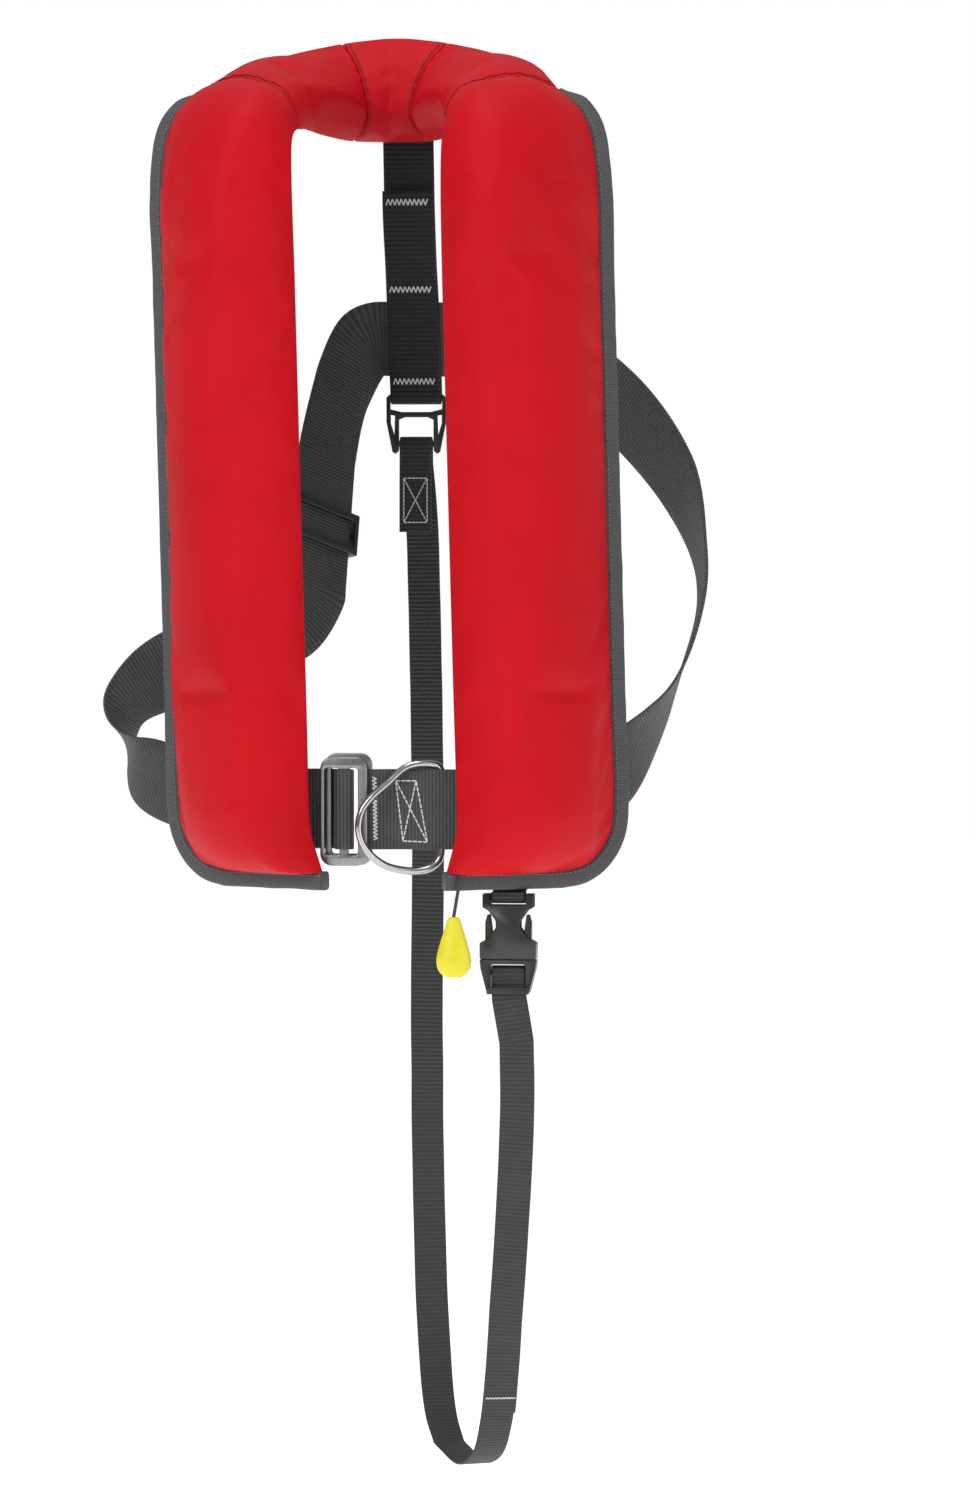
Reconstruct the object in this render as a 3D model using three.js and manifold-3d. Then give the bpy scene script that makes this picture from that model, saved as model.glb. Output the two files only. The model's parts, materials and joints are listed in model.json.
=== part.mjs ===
// An inflatable life jacket with a harness: a red cover shaped as a horseshoe, its bladder and inflator inside,
// and the webbing, rings, frames and buckle that hold it on. Millimetres, +Z up, the front faces -Y.
// The origin is the middle of the neck opening, level with the collar's underside, where the jacket rests.
import * as THREE from 'three';
import { mergeVertices } from 'three/addons/utils/BufferGeometryUtils.js';
import Module from 'manifold-3d';

const wasm = await Module();
wasm.setup();

// ---- Driving dimensions ----
const GAP = 0.3; // between two pieces that touch
const RUN = 0.5; // round a piece that moves

const LOBE_DROP = 445; // from the collar's underside to the hem
const NECK_HALF = 43; // from the middle to a lobe's inner edge
const CHEST_HALF = 137; // from the middle to a lobe's outer edge
const CHEST_Y = -98; // inner edges of the lobes
const SIDE_Y = -34; // outer edges of the lobes
const NAPE_Y = 44; // back of the neck
const COLLAR_HEIGHT = 63; // how high the collar stands
const LOBE_DEPTH = 42; // crown of the packed lobe
const SHOULDER_DEPTH = 36;
const NAPE_DEPTH = 30;
const CORNER_R = 45; // outer corner at the hem
const FLARE = 0.19; // how far the inner edge runs in at the hem, as a share of NECK_HALF
const FLARE_RISE = 40; // height over which it does
const HEM_RISE = 55; // height over which the hem fills out to full depth
const SWAY = 0.027; // the jacket hangs a little to one side
const SWAY_PIVOT = 190;
const EDGE_DEPTH = 4; // cover at its bound edge
const HEM_DEPTH = 12; // cover just above the hem tape
const COVER_WALL = 2;
const BACK_WALL = 3;
const BACK_GAP = 1; // between the cover's rim and the back panel, which bow a little differently
const BINDING = 10; // tape over the raw edge

const BELT_WIDTH = 47; // harness webbing
const BELT_THICK = 1.8;
const BELT_RISE = 47; // middle of the chest belt above the hem
const BACK_BELT_DROP = 118; // middle of the belt at the back
const BACK_STRAP_WIDTH = 31;
const STRAP_THICK = 1.6;
const STRAP_WIDTH = 20; // crotch strap

const FRAME_WIRE = 3; // thickness of the steel frames
const FRAME_HEIGHT = 64;
const FRAME_SLOT = 51.4;
const FRAME_DROP = 1.2; // the front frame hangs this far below the belt's middle
const RING_WIRE = 4.5;
const CONNECTOR_THICK = 3.6;

const BUCKLE = { x: 77, y: -74, width: STRAP_WIDTH + 13.4, thick: 11, top: 2.5, head: 9, arm: 19, collar: 10.5, plug: 20 };
const CYLINDER = { r: 15.5, length: 132, neckR: 6.5, neck: 14 };
const HANDLE = { length: 36, width: 20.7, depth: 12 };
const CORD_D = 2;
const PULL = 26; // travel of the pull handle
const LEVER_ARM = 26;
const LEVER_TURN = 30; // degrees the lever stands above level at rest

// ---- Finishes ----
const finish = (color, roughness, metalness) => new THREE.MeshStandardMaterial({ color, roughness, metalness });
const redCover = finish('#c81e2a', 0.7, 0);
const greyTape = finish('#57585c', 0.8, 0);
const charcoalWebbing = finish('#3a3a38', 0.8, 0);
const blackWebbing = finish('#1a1a18', 0.8, 0);
const steel = finish('#b9bcc0', 0.25, 1);
const blackPlastic = finish('#3d3e40', 0.45, 0);
const yellowPlastic = finish('#e6df3f', 0.4, 0);
const bladderFabric = finish('#e8d23a', 0.6, 0);
const backFabric = finish('#2b2c2f', 0.85, 0);
const cylinderPaint = finish('#b5b8ba', 0.35, 0.8);
const greyPlastic = finish('#8b8f93', 0.5, 0);
const sealRubber = finish('#202020', 0.8, 0);
const cordFibre = finish('#2c2c2a', 0.8, 0);

// ---- Helpers ----
const v3 = (x, y, z) => new THREE.Vector3(x, y, z);
const mix = (a, b, f) => a + (b - a) * f;
const clamp01 = (f) => Math.min(1, Math.max(0, f));
const ease = (f) => clamp01(f) * clamp01(f) * (3 - 2 * clamp01(f));
const zAxis = v3(0, 0, 1);

// A closed solid through rings of points. Its ends are capped, or joined to each other when it is a loop.
function loft(rings, loop = false) {
  const n = rings[0].length;
  const points = rings.flat();
  const faces = [];
  const spans = loop ? rings.length : rings.length - 1;
  for (let r = 0; r < spans; r++) {
    const a = r * n;
    const b = ((r + 1) % rings.length) * n;
    for (let k = 0; k < n; k++) {
      const next = (k + 1) % n;
      faces.push([a + k, a + next, b + next], [a + k, b + next, b + k]);
    }
  }
  if (!loop) {
    for (const [ring, start, turn] of [[rings[0], 0, 1], [rings.at(-1), (rings.length - 1) * n, 0]]) {
      const middle = ring.reduce((sum, p) => sum.add(p), v3(0, 0, 0)).divideScalar(n);
      points.push(middle);
      for (let k = 0; k < n; k++) {
        const pair = [start + k, start + ((k + 1) % n)];
        faces.push(turn ? [points.length - 1, pair[1], pair[0]] : [points.length - 1, pair[0], pair[1]]);
      }
    }
  }
  const volume = faces.reduce((sum, [a, b, c]) => sum + points[a].dot(v3().crossVectors(points[b], points[c])), 0);
  const index = volume < 0 ? faces.map(([a, b, c]) => [a, c, b]).flat() : faces.flat();
  const geometry = new THREE.BufferGeometry().setFromPoints(points);
  geometry.setIndex(index);
  return geometry;
}

// A band of webbing: its centreline, the direction of its width at each point, its width and its thickness.
function band(path, across, width, thick) {
  return loft(path.map((p, k) => {
    const t = path[Math.min(k + 1, path.length - 1)].clone().sub(path[Math.max(k - 1, 0)]).normalize();
    const w = across[k].clone().addScaledVector(t, -across[k].dot(t)).normalize();
    const n = v3().crossVectors(w, t).normalize();
    return [[1, 1], [-1, 1], [-1, -1], [1, -1]].map(([i, j]) => p.clone()
      .addScaledVector(w, (i * width) / 2).addScaledVector(n, (j * thick) / 2));
  }));
}

// The same band through a few route points [x, y, z, across], smoothed into the given number of steps.
function routed(route, width, thick, steps) {
  const centre = new THREE.CatmullRomCurve3(route.map(([x, y, z]) => v3(x, y, z)), false, 'centripetal');
  const sides = new THREE.CatmullRomCurve3(route.map((row) => v3(...row[3])), false, 'centripetal');
  const at = (curve) => Array.from({ length: steps + 1 }, (_, k) => curve.getPoint(k / steps));
  return band(at(centre), at(sides), width, thick);
}

// Points on part of an ellipse in a plane, as [first, second] pairs.
function arc(c1, c2, r1, r2, from, to, steps) {
  return Array.from({ length: steps + 1 }, (_, k) => {
    const a = THREE.MathUtils.degToRad(mix(from, to, k / steps));
    return [c1 + r1 * Math.cos(a), c2 + r2 * Math.sin(a)];
  });
}

// A round solid about Z from a profile of [radius, z].
const turned = (profile, sides = 20) => {
  const geometry = new THREE.LatheGeometry(profile.map(([r, z]) => new THREE.Vector2(r, z)), sides);
  return geometry.rotateX(Math.PI / 2);
};

// A plate in the XZ plane from an outline of [x, z], with holes, as thick as asked along Y and centred on it.
function plate(outline, holes, thick) {
  const shape = new THREE.Shape(outline.map(([x, z]) => new THREE.Vector2(x, z)));
  shape.holes = holes.map((hole) => new THREE.Path(hole.map(([x, z]) => new THREE.Vector2(x, z))));
  const geometry = new THREE.ExtrudeGeometry(shape, { depth: thick, bevelEnabled: false });
  return geometry.rotateX(Math.PI / 2).translate(0, thick / 2, 0);
}

// A rectangle with round corners, as an outline.
function rounded(cx, cz, width, height, r, steps = 3) {
  const [w, h] = [width / 2 - r, height / 2 - r];
  return [[w, h, 0], [-w, h, 90], [-w, -h, 180], [w, -h, 270]]
    .flatMap(([x, z, a]) => arc(cx + x, cz + z, r, r, a, a + 90, steps));
}

const block = (x0, x1, y0, y1, z0, z1) => new THREE.BoxGeometry(x1 - x0, y1 - y0, z1 - z0)
  .translate((x0 + x1) / 2, (y0 + y1) / 2, (z0 + z1) / 2);
const rod = (r, length, sides = 16) => turned([[0, 0], [r, 0], [r, length], [0, length]], sides);

function toSolid(geometry) {
  const bare = geometry.clone();
  bare.deleteAttribute('normal');
  bare.deleteAttribute('uv');
  const merged = mergeVertices(bare, 1e-4);
  return new wasm.Manifold(new wasm.Mesh({
    numProp: 3,
    vertProperties: Float32Array.from(merged.attributes.position.array),
    triVerts: Uint32Array.from(merged.index.array),
  }));
}

function toGeometry(solid) {
  const mesh = solid.getMesh();
  const geometry = new THREE.BufferGeometry();
  geometry.setAttribute('position', new THREE.BufferAttribute(Float32Array.from(mesh.vertProperties), 3));
  geometry.setIndex(Array.from(mesh.triVerts));
  return geometry;
}

const cut = (base, ...tools) => toGeometry(tools.reduce((s, t) => s.subtract(toSolid(t)), toSolid(base)));
const join = (base, ...more) => toGeometry(more.reduce((s, t) => s.add(toSolid(t)), toSolid(base)));

const jacket = new THREE.Group();
function piece(name, geometry, material, parent = jacket) {
  const mesh = new THREE.Mesh(geometry, material);
  mesh.name = name;
  parent.add(mesh);
  return mesh;
}

// ---- The horseshoe: two lobes joined behind the neck ----
const LOBE_SPAN = Math.hypot(CHEST_HALF - NECK_HALF, SIDE_Y - CHEST_Y);
const ACROSS = v3((CHEST_HALF - NECK_HALF) / LOBE_SPAN, (SIDE_Y - CHEST_Y) / LOBE_SPAN, 0);
const LOBE_TURN = Math.atan2(ACROSS.y, ACROSS.x);
const HEM_Z = -LOBE_DROP;
const sway = (z) => -SWAY * (z + SWAY_PIVOT);
const innerX = (z) => NECK_HALF * (1 - FLARE * (1 - ease((z - HEM_Z) / FLARE_RISE)));
const crownAt = (z) => mix(HEM_DEPTH, LOBE_DEPTH, Math.sqrt(1 - (1 - clamp01((z - HEM_Z - BINDING) / HEM_RISE)) ** 2));

// Above the lobes the edges turn back over the shoulder and round the neck. Each row: inner edge x, y, z and
// outer edge x, y, z, as shares of the sizes above, then the crown.
const SHOULDER = [
  [1.01, 0.01, -0.48, 1.0, 0.0, -0.45, LOBE_DEPTH],
  [1.02, 0.07, -0.1, 0.956, 0.06, 0.13, LOBE_DEPTH - 2],
  [1.02, 0.225, 0.03, 0.832, 0.2, 0.44, SHOULDER_DEPTH],
  [1.0, 0.48, 0.05, 0.672, 0.45, 0.63, SHOULDER_DEPTH - 2],
  [0.88, 0.746, 0.03, 0.482, 0.7, 0.79, mix(SHOULDER_DEPTH, NAPE_DEPTH, 0.7)],
  [0.56, 0.93, 0.0, 0.248, 0.9, 0.937, NAPE_DEPTH],
  [0.0, 1.0, 0.0, 0.0, 1.0, 1.0, NAPE_DEPTH],
];
const CORNER_STEPS = 4;
const LOBE_LEVELS = [0.25, 0.45, 0.64, 0.82];
const LOWER = CORNER_STEPS + 1 + LOBE_LEVELS.length;
const SEAM_SHOULDER = LOWER + 2;
const SEAM_NAPE = LOWER + 5;
const LAST = 2 * (LOWER + SHOULDER.length - 1);
const NAPE_LEAN = 8; // the collar's top edge stands this far behind its lower edge

// The two edges of a horseshoe whose bound edges are moved in by inset, and its other edges by tuck.
function horseshoe(inset, tuck = 0) {
  const half = [];
  const r = CORNER_R - inset;
  for (let k = 0; k <= CORNER_STEPS; k++) {
    const a = (Math.PI / 2) * (k / CORNER_STEPS);
    const z = HEM_Z + inset + r * (1 - Math.cos(a));
    half.push([v3(innerX(z), CHEST_Y, z),
      v3(CHEST_HALF, SIDE_Y, z).addScaledVector(ACROSS, -r * (1 - Math.sin(a))), crownAt(z)]);
  }
  for (const level of LOBE_LEVELS) {
    const z = HEM_Z * (1 - level);
    half.push([v3(innerX(z), CHEST_Y, z), v3(CHEST_HALF, SIDE_Y, z), LOBE_DEPTH]);
  }
  for (const [a, b, c, d, e, f, crown] of SHOULDER) {
    half.push([v3(NECK_HALF * a, mix(CHEST_Y, NAPE_Y, b), COLLAR_HEIGHT * c),
      v3(CHEST_HALF * d, mix(SIDE_Y, NAPE_Y + NAPE_LEAN, e), COLLAR_HEIGHT * f), crown]);
  }
  const flip = (p) => v3(-p.x, p.y, p.z);
  const left = half.slice(0, -1).reverse().map(([i, o, crown]) => [flip(i), flip(o), crown]);
  const rows = [...half, ...left].map(([i, o, crown], k) => {
    const d = o.clone().sub(i).normalize();
    const bound = k <= SEAM_SHOULDER || k >= LAST - SEAM_SHOULDER;
    return [i.clone().addScaledVector(d, tuck), o.clone().addScaledVector(d, bound ? -inset : -tuck), crown];
  });
  const inner = new THREE.CatmullRomCurve3(rows.map((row) => row[0]), false, 'centripetal');
  const outer = new THREE.CatmullRomCurve3(rows.map((row) => row[1]), false, 'centripetal');
  return (s) => {
    const t = s / LAST;
    const [i, o] = [inner.getPoint(t), outer.getPoint(t)];
    const along = inner.getTangent(t).add(outer.getTangent(t)).normalize();
    const n = v3().crossVectors(o.clone().sub(i), along).normalize();
    const k = Math.min(Math.floor(s), LAST - 1);
    const crown = mix(rows[k][2], rows[k + 1][2], s - k);
    return { i, o, n, crown, x: sway((i.z + o.z) / 2) };
  };
}

// How far the crown stands up at a share v of the way from the inner to the outer edge: a full round shoulder at
// the neck side, then a long slope to the flat bound edge.
const ROUND_SHARE = 0.24;
function rise(v, crown, edge) {
  if (v < ROUND_SHARE) return crown * Math.sqrt(1 - (1 - v / ROUND_SHARE) ** 2);
  return mix(crown, edge, ((v - ROUND_SHARE) / (1 - ROUND_SHARE)) ** 2.3);
}

const FRONT_SHARES = [0.0, 0.02, 0.08, 0.2, 0.38, 0.56, 0.74, 0.9, 1.0];
const BACK_SHARES = [1.0, 0.66, 0.33, 0.0];

// One padded length of the horseshoe between stations from and to.
function lobe(shoe, from, to, top, bottom, shares = FRONT_SHARES) {
  const stops = [from];
  for (let k = Math.floor(from) + 1; k < to; k++) stops.push(k);
  stops.push(to);
  return loft(stops.map((s) => {
    const { i, o, n, crown, x } = shoe(s);
    const at = (v, h) => i.clone().lerp(o, v).addScaledVector(n, h).add(v3(x, 0, 0));
    return [...shares.map((v) => at(v, top(v, crown))), ...BACK_SHARES.map((v) => at(v, bottom(v, crown)))];
  }));
}

const FABRIC_INSET = BINDING + GAP;
const fabricShoe = horseshoe(FABRIC_INSET);
const cavityShoe = horseshoe(FABRIC_INSET + COVER_WALL, COVER_WALL);
const OVERCUT = 8;
const JOINT_GAP = 0.012; // in stations, about the clearance between two sewn panels
const cavity = lobe(cavityShoe, 0, LAST, (v, crown) => Math.max(rise(v, crown - COVER_WALL, EDGE_DEPTH - COVER_WALL), 1.5),
  () => -OVERCUT);
const coverPanel = (from, to) => cut(
  lobe(fabricShoe, from, to, (v, crown) => Math.max(rise(v, crown, EDGE_DEPTH), 0.4), () => 0), cavity);
const backPanel = (from, to) => lobe(fabricShoe, from, to, () => -BACK_GAP, () => -BACK_GAP - BACK_WALL,
  BACK_SHARES.toReversed());

// A frame inside a lobe: X from its inner to its outer edge, Y towards the body, Z up from the hem. It stands
// where the lobe's inner edge is at the given height.
const lobeGroup = (side, height) => {
  const group = new THREE.Group();
  const z = HEM_Z + height;
  group.position.set(side * innerX(z) + sway(z), CHEST_Y, HEM_Z);
  group.rotation.z = side * LOBE_TURN;
  jacket.add(group);
  group.updateMatrixWorld(true);
  return group;
};
const rightInside = lobeGroup(1, 90);
const leftInside = lobeGroup(-1, 190);
const leftFoot = lobeGroup(-1, 45);

// The pull cord is straight, from the firing lever's tip to the handle, and leaves the cover by an eyelet
// beside the lobe's inner corner.
const TIP = { x: 10.5, y: -7, z: 60 }; // cord's upper end, in the right-hand lobe's frame
const EYE = { across: 6, out: 6.2 }; // eyelet, from the inner corner
const cordTop = rightInside.localToWorld(v3(TIP.x, TIP.y, TIP.z));
const eye = v3(innerX(HEM_Z) + sway(HEM_Z), CHEST_Y, HEM_Z).addScaledVector(ACROSS, EYE.across)
  .add(v3(ACROSS.y, -ACROSS.x, 0).multiplyScalar(EYE.out));
const CORD_OUT = 15; // cord between the hem and the handle
const cordDown = eye.clone().sub(cordTop).normalize();
const cordEnd = eye.clone().addScaledVector(cordDown, CORD_OUT);
function along(geometry, start, direction) {
  const turn = new THREE.Quaternion().setFromUnitVectors(zAxis, direction);
  return geometry.applyQuaternion(turn).translate(start.x, start.y, start.z);
}
const eyelet = along(rod(CORD_D / 2 + RUN, 40, 12), eye.clone().addScaledVector(cordDown, -25), cordDown);

const COVERS = [
  ['right_front_cover', 0, SEAM_SHOULDER - JOINT_GAP],
  ['right_shoulder_cover', SEAM_SHOULDER, SEAM_NAPE - JOINT_GAP],
  ['nape_cover', SEAM_NAPE, LAST - SEAM_NAPE],
  ['left_shoulder_cover', LAST - SEAM_NAPE + JOINT_GAP, LAST - SEAM_SHOULDER],
  ['left_front_cover', LAST - SEAM_SHOULDER + JOINT_GAP, LAST],
];
for (const [name, from, to] of COVERS) {
  const panel = coverPanel(from, to);
  piece(name, name === 'right_front_cover' ? cut(panel, eyelet) : panel, redCover);
}
piece('right_back_panel', backPanel(0, SEAM_SHOULDER - JOINT_GAP), backFabric);
piece('collar_back_panel', backPanel(SEAM_SHOULDER + JOINT_GAP, LAST - SEAM_SHOULDER - JOINT_GAP), backFabric);
piece('left_back_panel', backPanel(LAST - SEAM_SHOULDER + JOINT_GAP, LAST), backFabric);

// Tape folded over the outer edge and the hem, from the shoulder seam to the inner corner.
const tapeShoe = horseshoe(BINDING / 2);
function edgeTape(side) {
  const path = [];
  const across = [];
  const lift = (EDGE_DEPTH - BACK_WALL - GAP) / 2;
  for (let k = SEAM_SHOULDER; k >= 0; k--) {
    const { o, n, x } = tapeShoe(side > 0 ? k : LAST - k);
    path.push(o.clone().addScaledVector(n, lift).add(v3(x, 0, 0)));
    across.push(n);
  }
  const { i, o, n, x } = tapeShoe(side > 0 ? 0 : LAST);
  for (const share of [0.35, 0.7, 1]) {
    path.push(o.clone().lerp(i, share).addScaledVector(n, lift).add(v3(x, 0, 0)));
    across.push(n);
  }
  const widths = path.map((p, k) => {
    const t = path[Math.min(k + 1, path.length - 1)].clone().sub(path[Math.max(k - 1, 0)]).normalize();
    return v3().crossVectors(t, across[k]).normalize();
  });
  return band(path, widths, BINDING, EDGE_DEPTH + BACK_WALL + GAP);
}
piece('right_edge_binding', edgeTape(1), greyTape);
piece('left_edge_binding', edgeTape(-1), greyTape);

// The folded bladder, one piece from above the cylinder on the right, round the neck, to the left-hand lobe.
const bladderShoe = horseshoe(FABRIC_INSET + COVER_WALL + 8, COVER_WALL + 5);
const FULL_FROM = LAST - LOWER + 1; // left of this the bladder is packed thin, behind the oral tube
const THIN = 12;
const BLADDER_BACK = 4; // above the lobe's back
const packed = (v, crown) => Math.max(rise(v, crown, 3), BLADDER_BACK + 1.2);
const BODY = { x0: 29, x1: 60, y0: -29, y1: -2, z0: 38, z1: 82 };
function stationAbove(z) {
  let s = 0;
  while (bladderShoe(s).i.z < z) s += 0.05;
  return s;
}
const bladderFrom = stationAbove(HEM_Z + BODY.z1 + CYLINDER.length + 4);
const bladderTo = LAST - stationAbove(HEM_Z + 66);
function bladder() {
  const back = () => BLADDER_BACK;
  const full = lobe(bladderShoe, bladderFrom, FULL_FROM, (v, crown) => packed(v, crown - COVER_WALL - 5), back);
  const thin = lobe(bladderShoe, FULL_FROM - 0.2, bladderTo, (v) => packed(v, THIN), back);
  return join(full, thin);
}
piece('bladder', bladder(), bladderFabric);

// ---- Inflator, inside the right-hand lobe ----
const CYL = { x: 44, y: -18.5, z: BODY.z1 };
const leverRise = THREE.MathUtils.degToRad(LEVER_TURN);
const TIP_R = 2.6;
const LEVER = {
  x: TIP.x + LEVER_ARM * Math.cos(leverRise),
  y: TIP.y,
  z: TIP.z + 1.6 + TIP_R - LEVER_ARM * Math.sin(leverRise),
  thick: 5,
  bore: 2.2,
};
const EAR = 2.5;
const ySide = (geometry, x, y, z) => geometry.rotateX(Math.PI / 2).translate(x, y, z);
const CARTRIDGE = { r: 9.5, length: 18, y: -13.5, z: 58 };

const leverGapY = [LEVER.y - LEVER.thick / 2 - RUN, LEVER.y + LEVER.thick / 2 + RUN];
const bodyEars = block(LEVER.x - 6, BODY.x0 + 6, leverGapY[0] - EAR, leverGapY[1] + EAR, LEVER.z - 6, LEVER.z + 6);
const leverSlot = block(LEVER.x - 20, LEVER.x + 8, leverGapY[0], leverGapY[1], LEVER.z - 24, LEVER.z + 24);
const pinHole = ySide(rod(LEVER.bore, 20, 16), LEVER.x, LEVER.y + 10, LEVER.z);
const neckHole = rod(CYLINDER.neckR + RUN, 40, 20).translate(CYL.x, CYL.y, BODY.z1 - CYLINDER.neck - 2);
const capHole = rod(CARTRIDGE.r - 3, 12, 20).rotateY(Math.PI / 2).translate(BODY.x1 - 10, CARTRIDGE.y, CARTRIDGE.z);
piece('inflator_body', cut(join(block(BODY.x0, BODY.x1, BODY.y0, BODY.y1, BODY.z0, BODY.z1), bodyEars),
  leverSlot, pinHole, neckHole, capHole), greyPlastic, rightInside);
piece('lever_pin', ySide(rod(LEVER.bore - 0.3, leverGapY[1] - leverGapY[0] + 2 * EAR), LEVER.x, leverGapY[1] + EAR, LEVER.z),
  steel, rightInside);

// The lever hangs on its pin and reaches over the top of the cord.
const armEnd = [-LEVER_ARM * Math.cos(leverRise), LEVER_ARM * Math.sin(leverRise)];
const leverShape = [...arc(0, 0, 4.6, 4.6, -60, 90, 6), ...arc(armEnd[0], armEnd[1], TIP_R, TIP_R, 60, 240, 6)];
piece('firing_lever', plate(leverShape, [arc(0, 0, LEVER.bore, LEVER.bore, 0, 337.5, 15)], LEVER.thick)
  .translate(LEVER.x, LEVER.y, LEVER.z), yellowPlastic, rightInside);

const cylinderProfile = [[0, -CYLINDER.neck], [CYLINDER.neckR, -CYLINDER.neck], [CYLINDER.neckR, 2.5],
  [CYLINDER.r * 0.8, 7], [CYLINDER.r, 14], [CYLINDER.r, CYLINDER.length - 12],
  [CYLINDER.r * 0.86, CYLINDER.length - 4.5], [CYLINDER.r * 0.5, CYLINDER.length - 1], [0, CYLINDER.length]];
piece('co2_cylinder', turned(cylinderProfile, 24).translate(CYL.x, CYL.y, CYL.z), cylinderPaint, rightInside);
const sealSection = [[CYLINDER.neckR + GAP, GAP], [CYLINDER.neckR + 2.6, GAP], [CYLINDER.neckR + 2.6, 1.9],
  [CYLINDER.neckR + GAP, 1.9], [CYLINDER.neckR + GAP, GAP]];
piece('cylinder_seal', turned(sealSection, 24).translate(CYL.x, CYL.y, CYL.z), sealRubber, rightInside);
const capProfile = [[0, -8], [CARTRIDGE.r - 3 - RUN, -8], [CARTRIDGE.r - 3 - RUN, GAP], [CARTRIDGE.r, GAP],
  [CARTRIDGE.r, CARTRIDGE.length - 2], [CARTRIDGE.r - 2, CARTRIDGE.length], [0, CARTRIDGE.length]];
piece('auto_cartridge', turned(capProfile, 24).rotateY(Math.PI / 2).translate(BODY.x1, CARTRIDGE.y, CARTRIDGE.z),
  greyPlastic, rightInside);

// The cord and its teardrop handle.
piece('pull_cord', along(rod(CORD_D / 2, cordTop.distanceTo(cordEnd), 8), cordTop, cordDown), cordFibre);
const handleProfile = [[0, -HANDLE.length], [5, -HANDLE.length + 0.8], [8.6, -HANDLE.length + 4.2],
  [HANDLE.width / 2, -HANDLE.length + 10], [9.6, -HANDLE.length + 16], [6.6, -HANDLE.length + 25],
  [3.6, -2.5], [2.4, -GAP], [0, -GAP]];
piece('pull_handle', turned(handleProfile, 24).scale(1, HANDLE.depth / HANDLE.width, 1)
  .translate(cordEnd.x, cordEnd.y, cordEnd.z - GAP), yellowPlastic);

// ---- Oral tube and whistle, inside the left-hand lobe ----
const TUBE = { x: -38, y: -27, z: 130, r: 6.5, bore: 4, length: 92 };
const tubeProfile = [[TUBE.bore, 0], [8.5, 0], [8.5, 2], [TUBE.r, 6], [TUBE.r, TUBE.length], [TUBE.bore, TUBE.length], [TUBE.bore, 0]];
piece('oral_tube', turned(tubeProfile).translate(TUBE.x, TUBE.y, TUBE.z), sealRubber, leftInside);
const VALVE = { length: 20, r: 8, bore: 4.5, seat: 2.5 };
const valveZ = TUBE.z + TUBE.length + GAP;
const valveProfile = [[VALVE.seat, 0], [VALVE.r, 0], [VALVE.r, VALVE.length], [VALVE.bore, VALVE.length],
  [VALVE.bore, 4], [VALVE.seat, 4], [VALVE.seat, 0]];
piece('oral_valve_body', turned(valveProfile).translate(TUBE.x, TUBE.y, valveZ), blackPlastic, leftInside);
const POPPET_TRAVEL = 3;
const poppetProfile = [[0, 4 + POPPET_TRAVEL + RUN], [VALVE.bore - RUN, 4 + POPPET_TRAVEL + RUN], [VALVE.bore - RUN, 12],
  [2, 12], [2, VALVE.length - 1], [0, VALVE.length - 1]];
piece('oral_valve_poppet', turned(poppetProfile, 16).translate(TUBE.x, TUBE.y, valveZ), yellowPlastic, leftInside);
const CAP = { wall: 1.5, length: 12 };
const capInner = VALVE.r + RUN;
const dustCap = [[0, VALVE.length + 3 - 1.5], [capInner, VALVE.length + 3 - 1.5], [capInner, VALVE.length - CAP.length + 3],
  [capInner + CAP.wall, VALVE.length - CAP.length + 3], [capInner + CAP.wall, VALVE.length + 3], [0, VALVE.length + 3]];
piece('oral_valve_cap', turned(dustCap).translate(TUBE.x, TUBE.y, valveZ), yellowPlastic, leftInside);
const WHISTLE = { x: -52, y: -11, z: 22, width: 17, length: 34, thick: 9 };
piece('whistle', cut(plate(rounded(0, WHISTLE.length / 2, WHISTLE.width, WHISTLE.length, 4),
  [rounded(0, 5, 5, 5, 1.5)], WHISTLE.thick), block(-5, 5, -WHISTLE.thick, 0, 20, 25),
block(-2.5, 2.5, -1.5, 1.5, 20, WHISTLE.length + 1)).translate(WHISTLE.x, WHISTLE.y, WHISTLE.z), yellowPlastic, leftFoot);

// Depth of the plane that a lobe's cloth is sewn in, at a place across and a height.
function lobeFace(x, z) {
  const inner = Math.sign(x) * NECK_HALF + sway(z);
  return CHEST_Y + Math.abs(x - inner) * (ACROSS.y / ACROSS.x);
}

// ---- Back strap, connector ring and crotch strap ----
const BAR_HALF = 1.8; // half the height of the connector ring's bars
const LOOP_R = Math.hypot(CONNECTOR_THICK / 2, BAR_HALF) + GAP + STRAP_THICK / 2;
// The back strap leans away from the collar as it goes down; [y, z] of the layer nearest the back.
const BACK_LINE = [[56.5, 34], [57, 6], [60, -28], [68, -62], [79, -92], [95.3, -146], [96.6, -153]];
const ringBarZ = -153;
const ringY = BACK_LINE.at(-1)[0] - LOOP_R;
function foldedStrap() {
  const down = BACK_LINE.map(([y, z]) => v3(0, y, z));
  const turn = arc(ringY, ringBarZ, LOOP_R, LOOP_R, 0, -180, 6).map(([y, z]) => v3(0, y, z));
  const up = BACK_LINE.slice(2).reverse().map(([y, z]) => v3(0, y - 2 * LOOP_R, z));
  const path = [...down, ...turn, ...up];
  return band(path, path.map(() => v3(1, 0, 0)), BACK_STRAP_WIDTH, STRAP_THICK);
}
piece('back_strap', foldedStrap(), blackWebbing);

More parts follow.
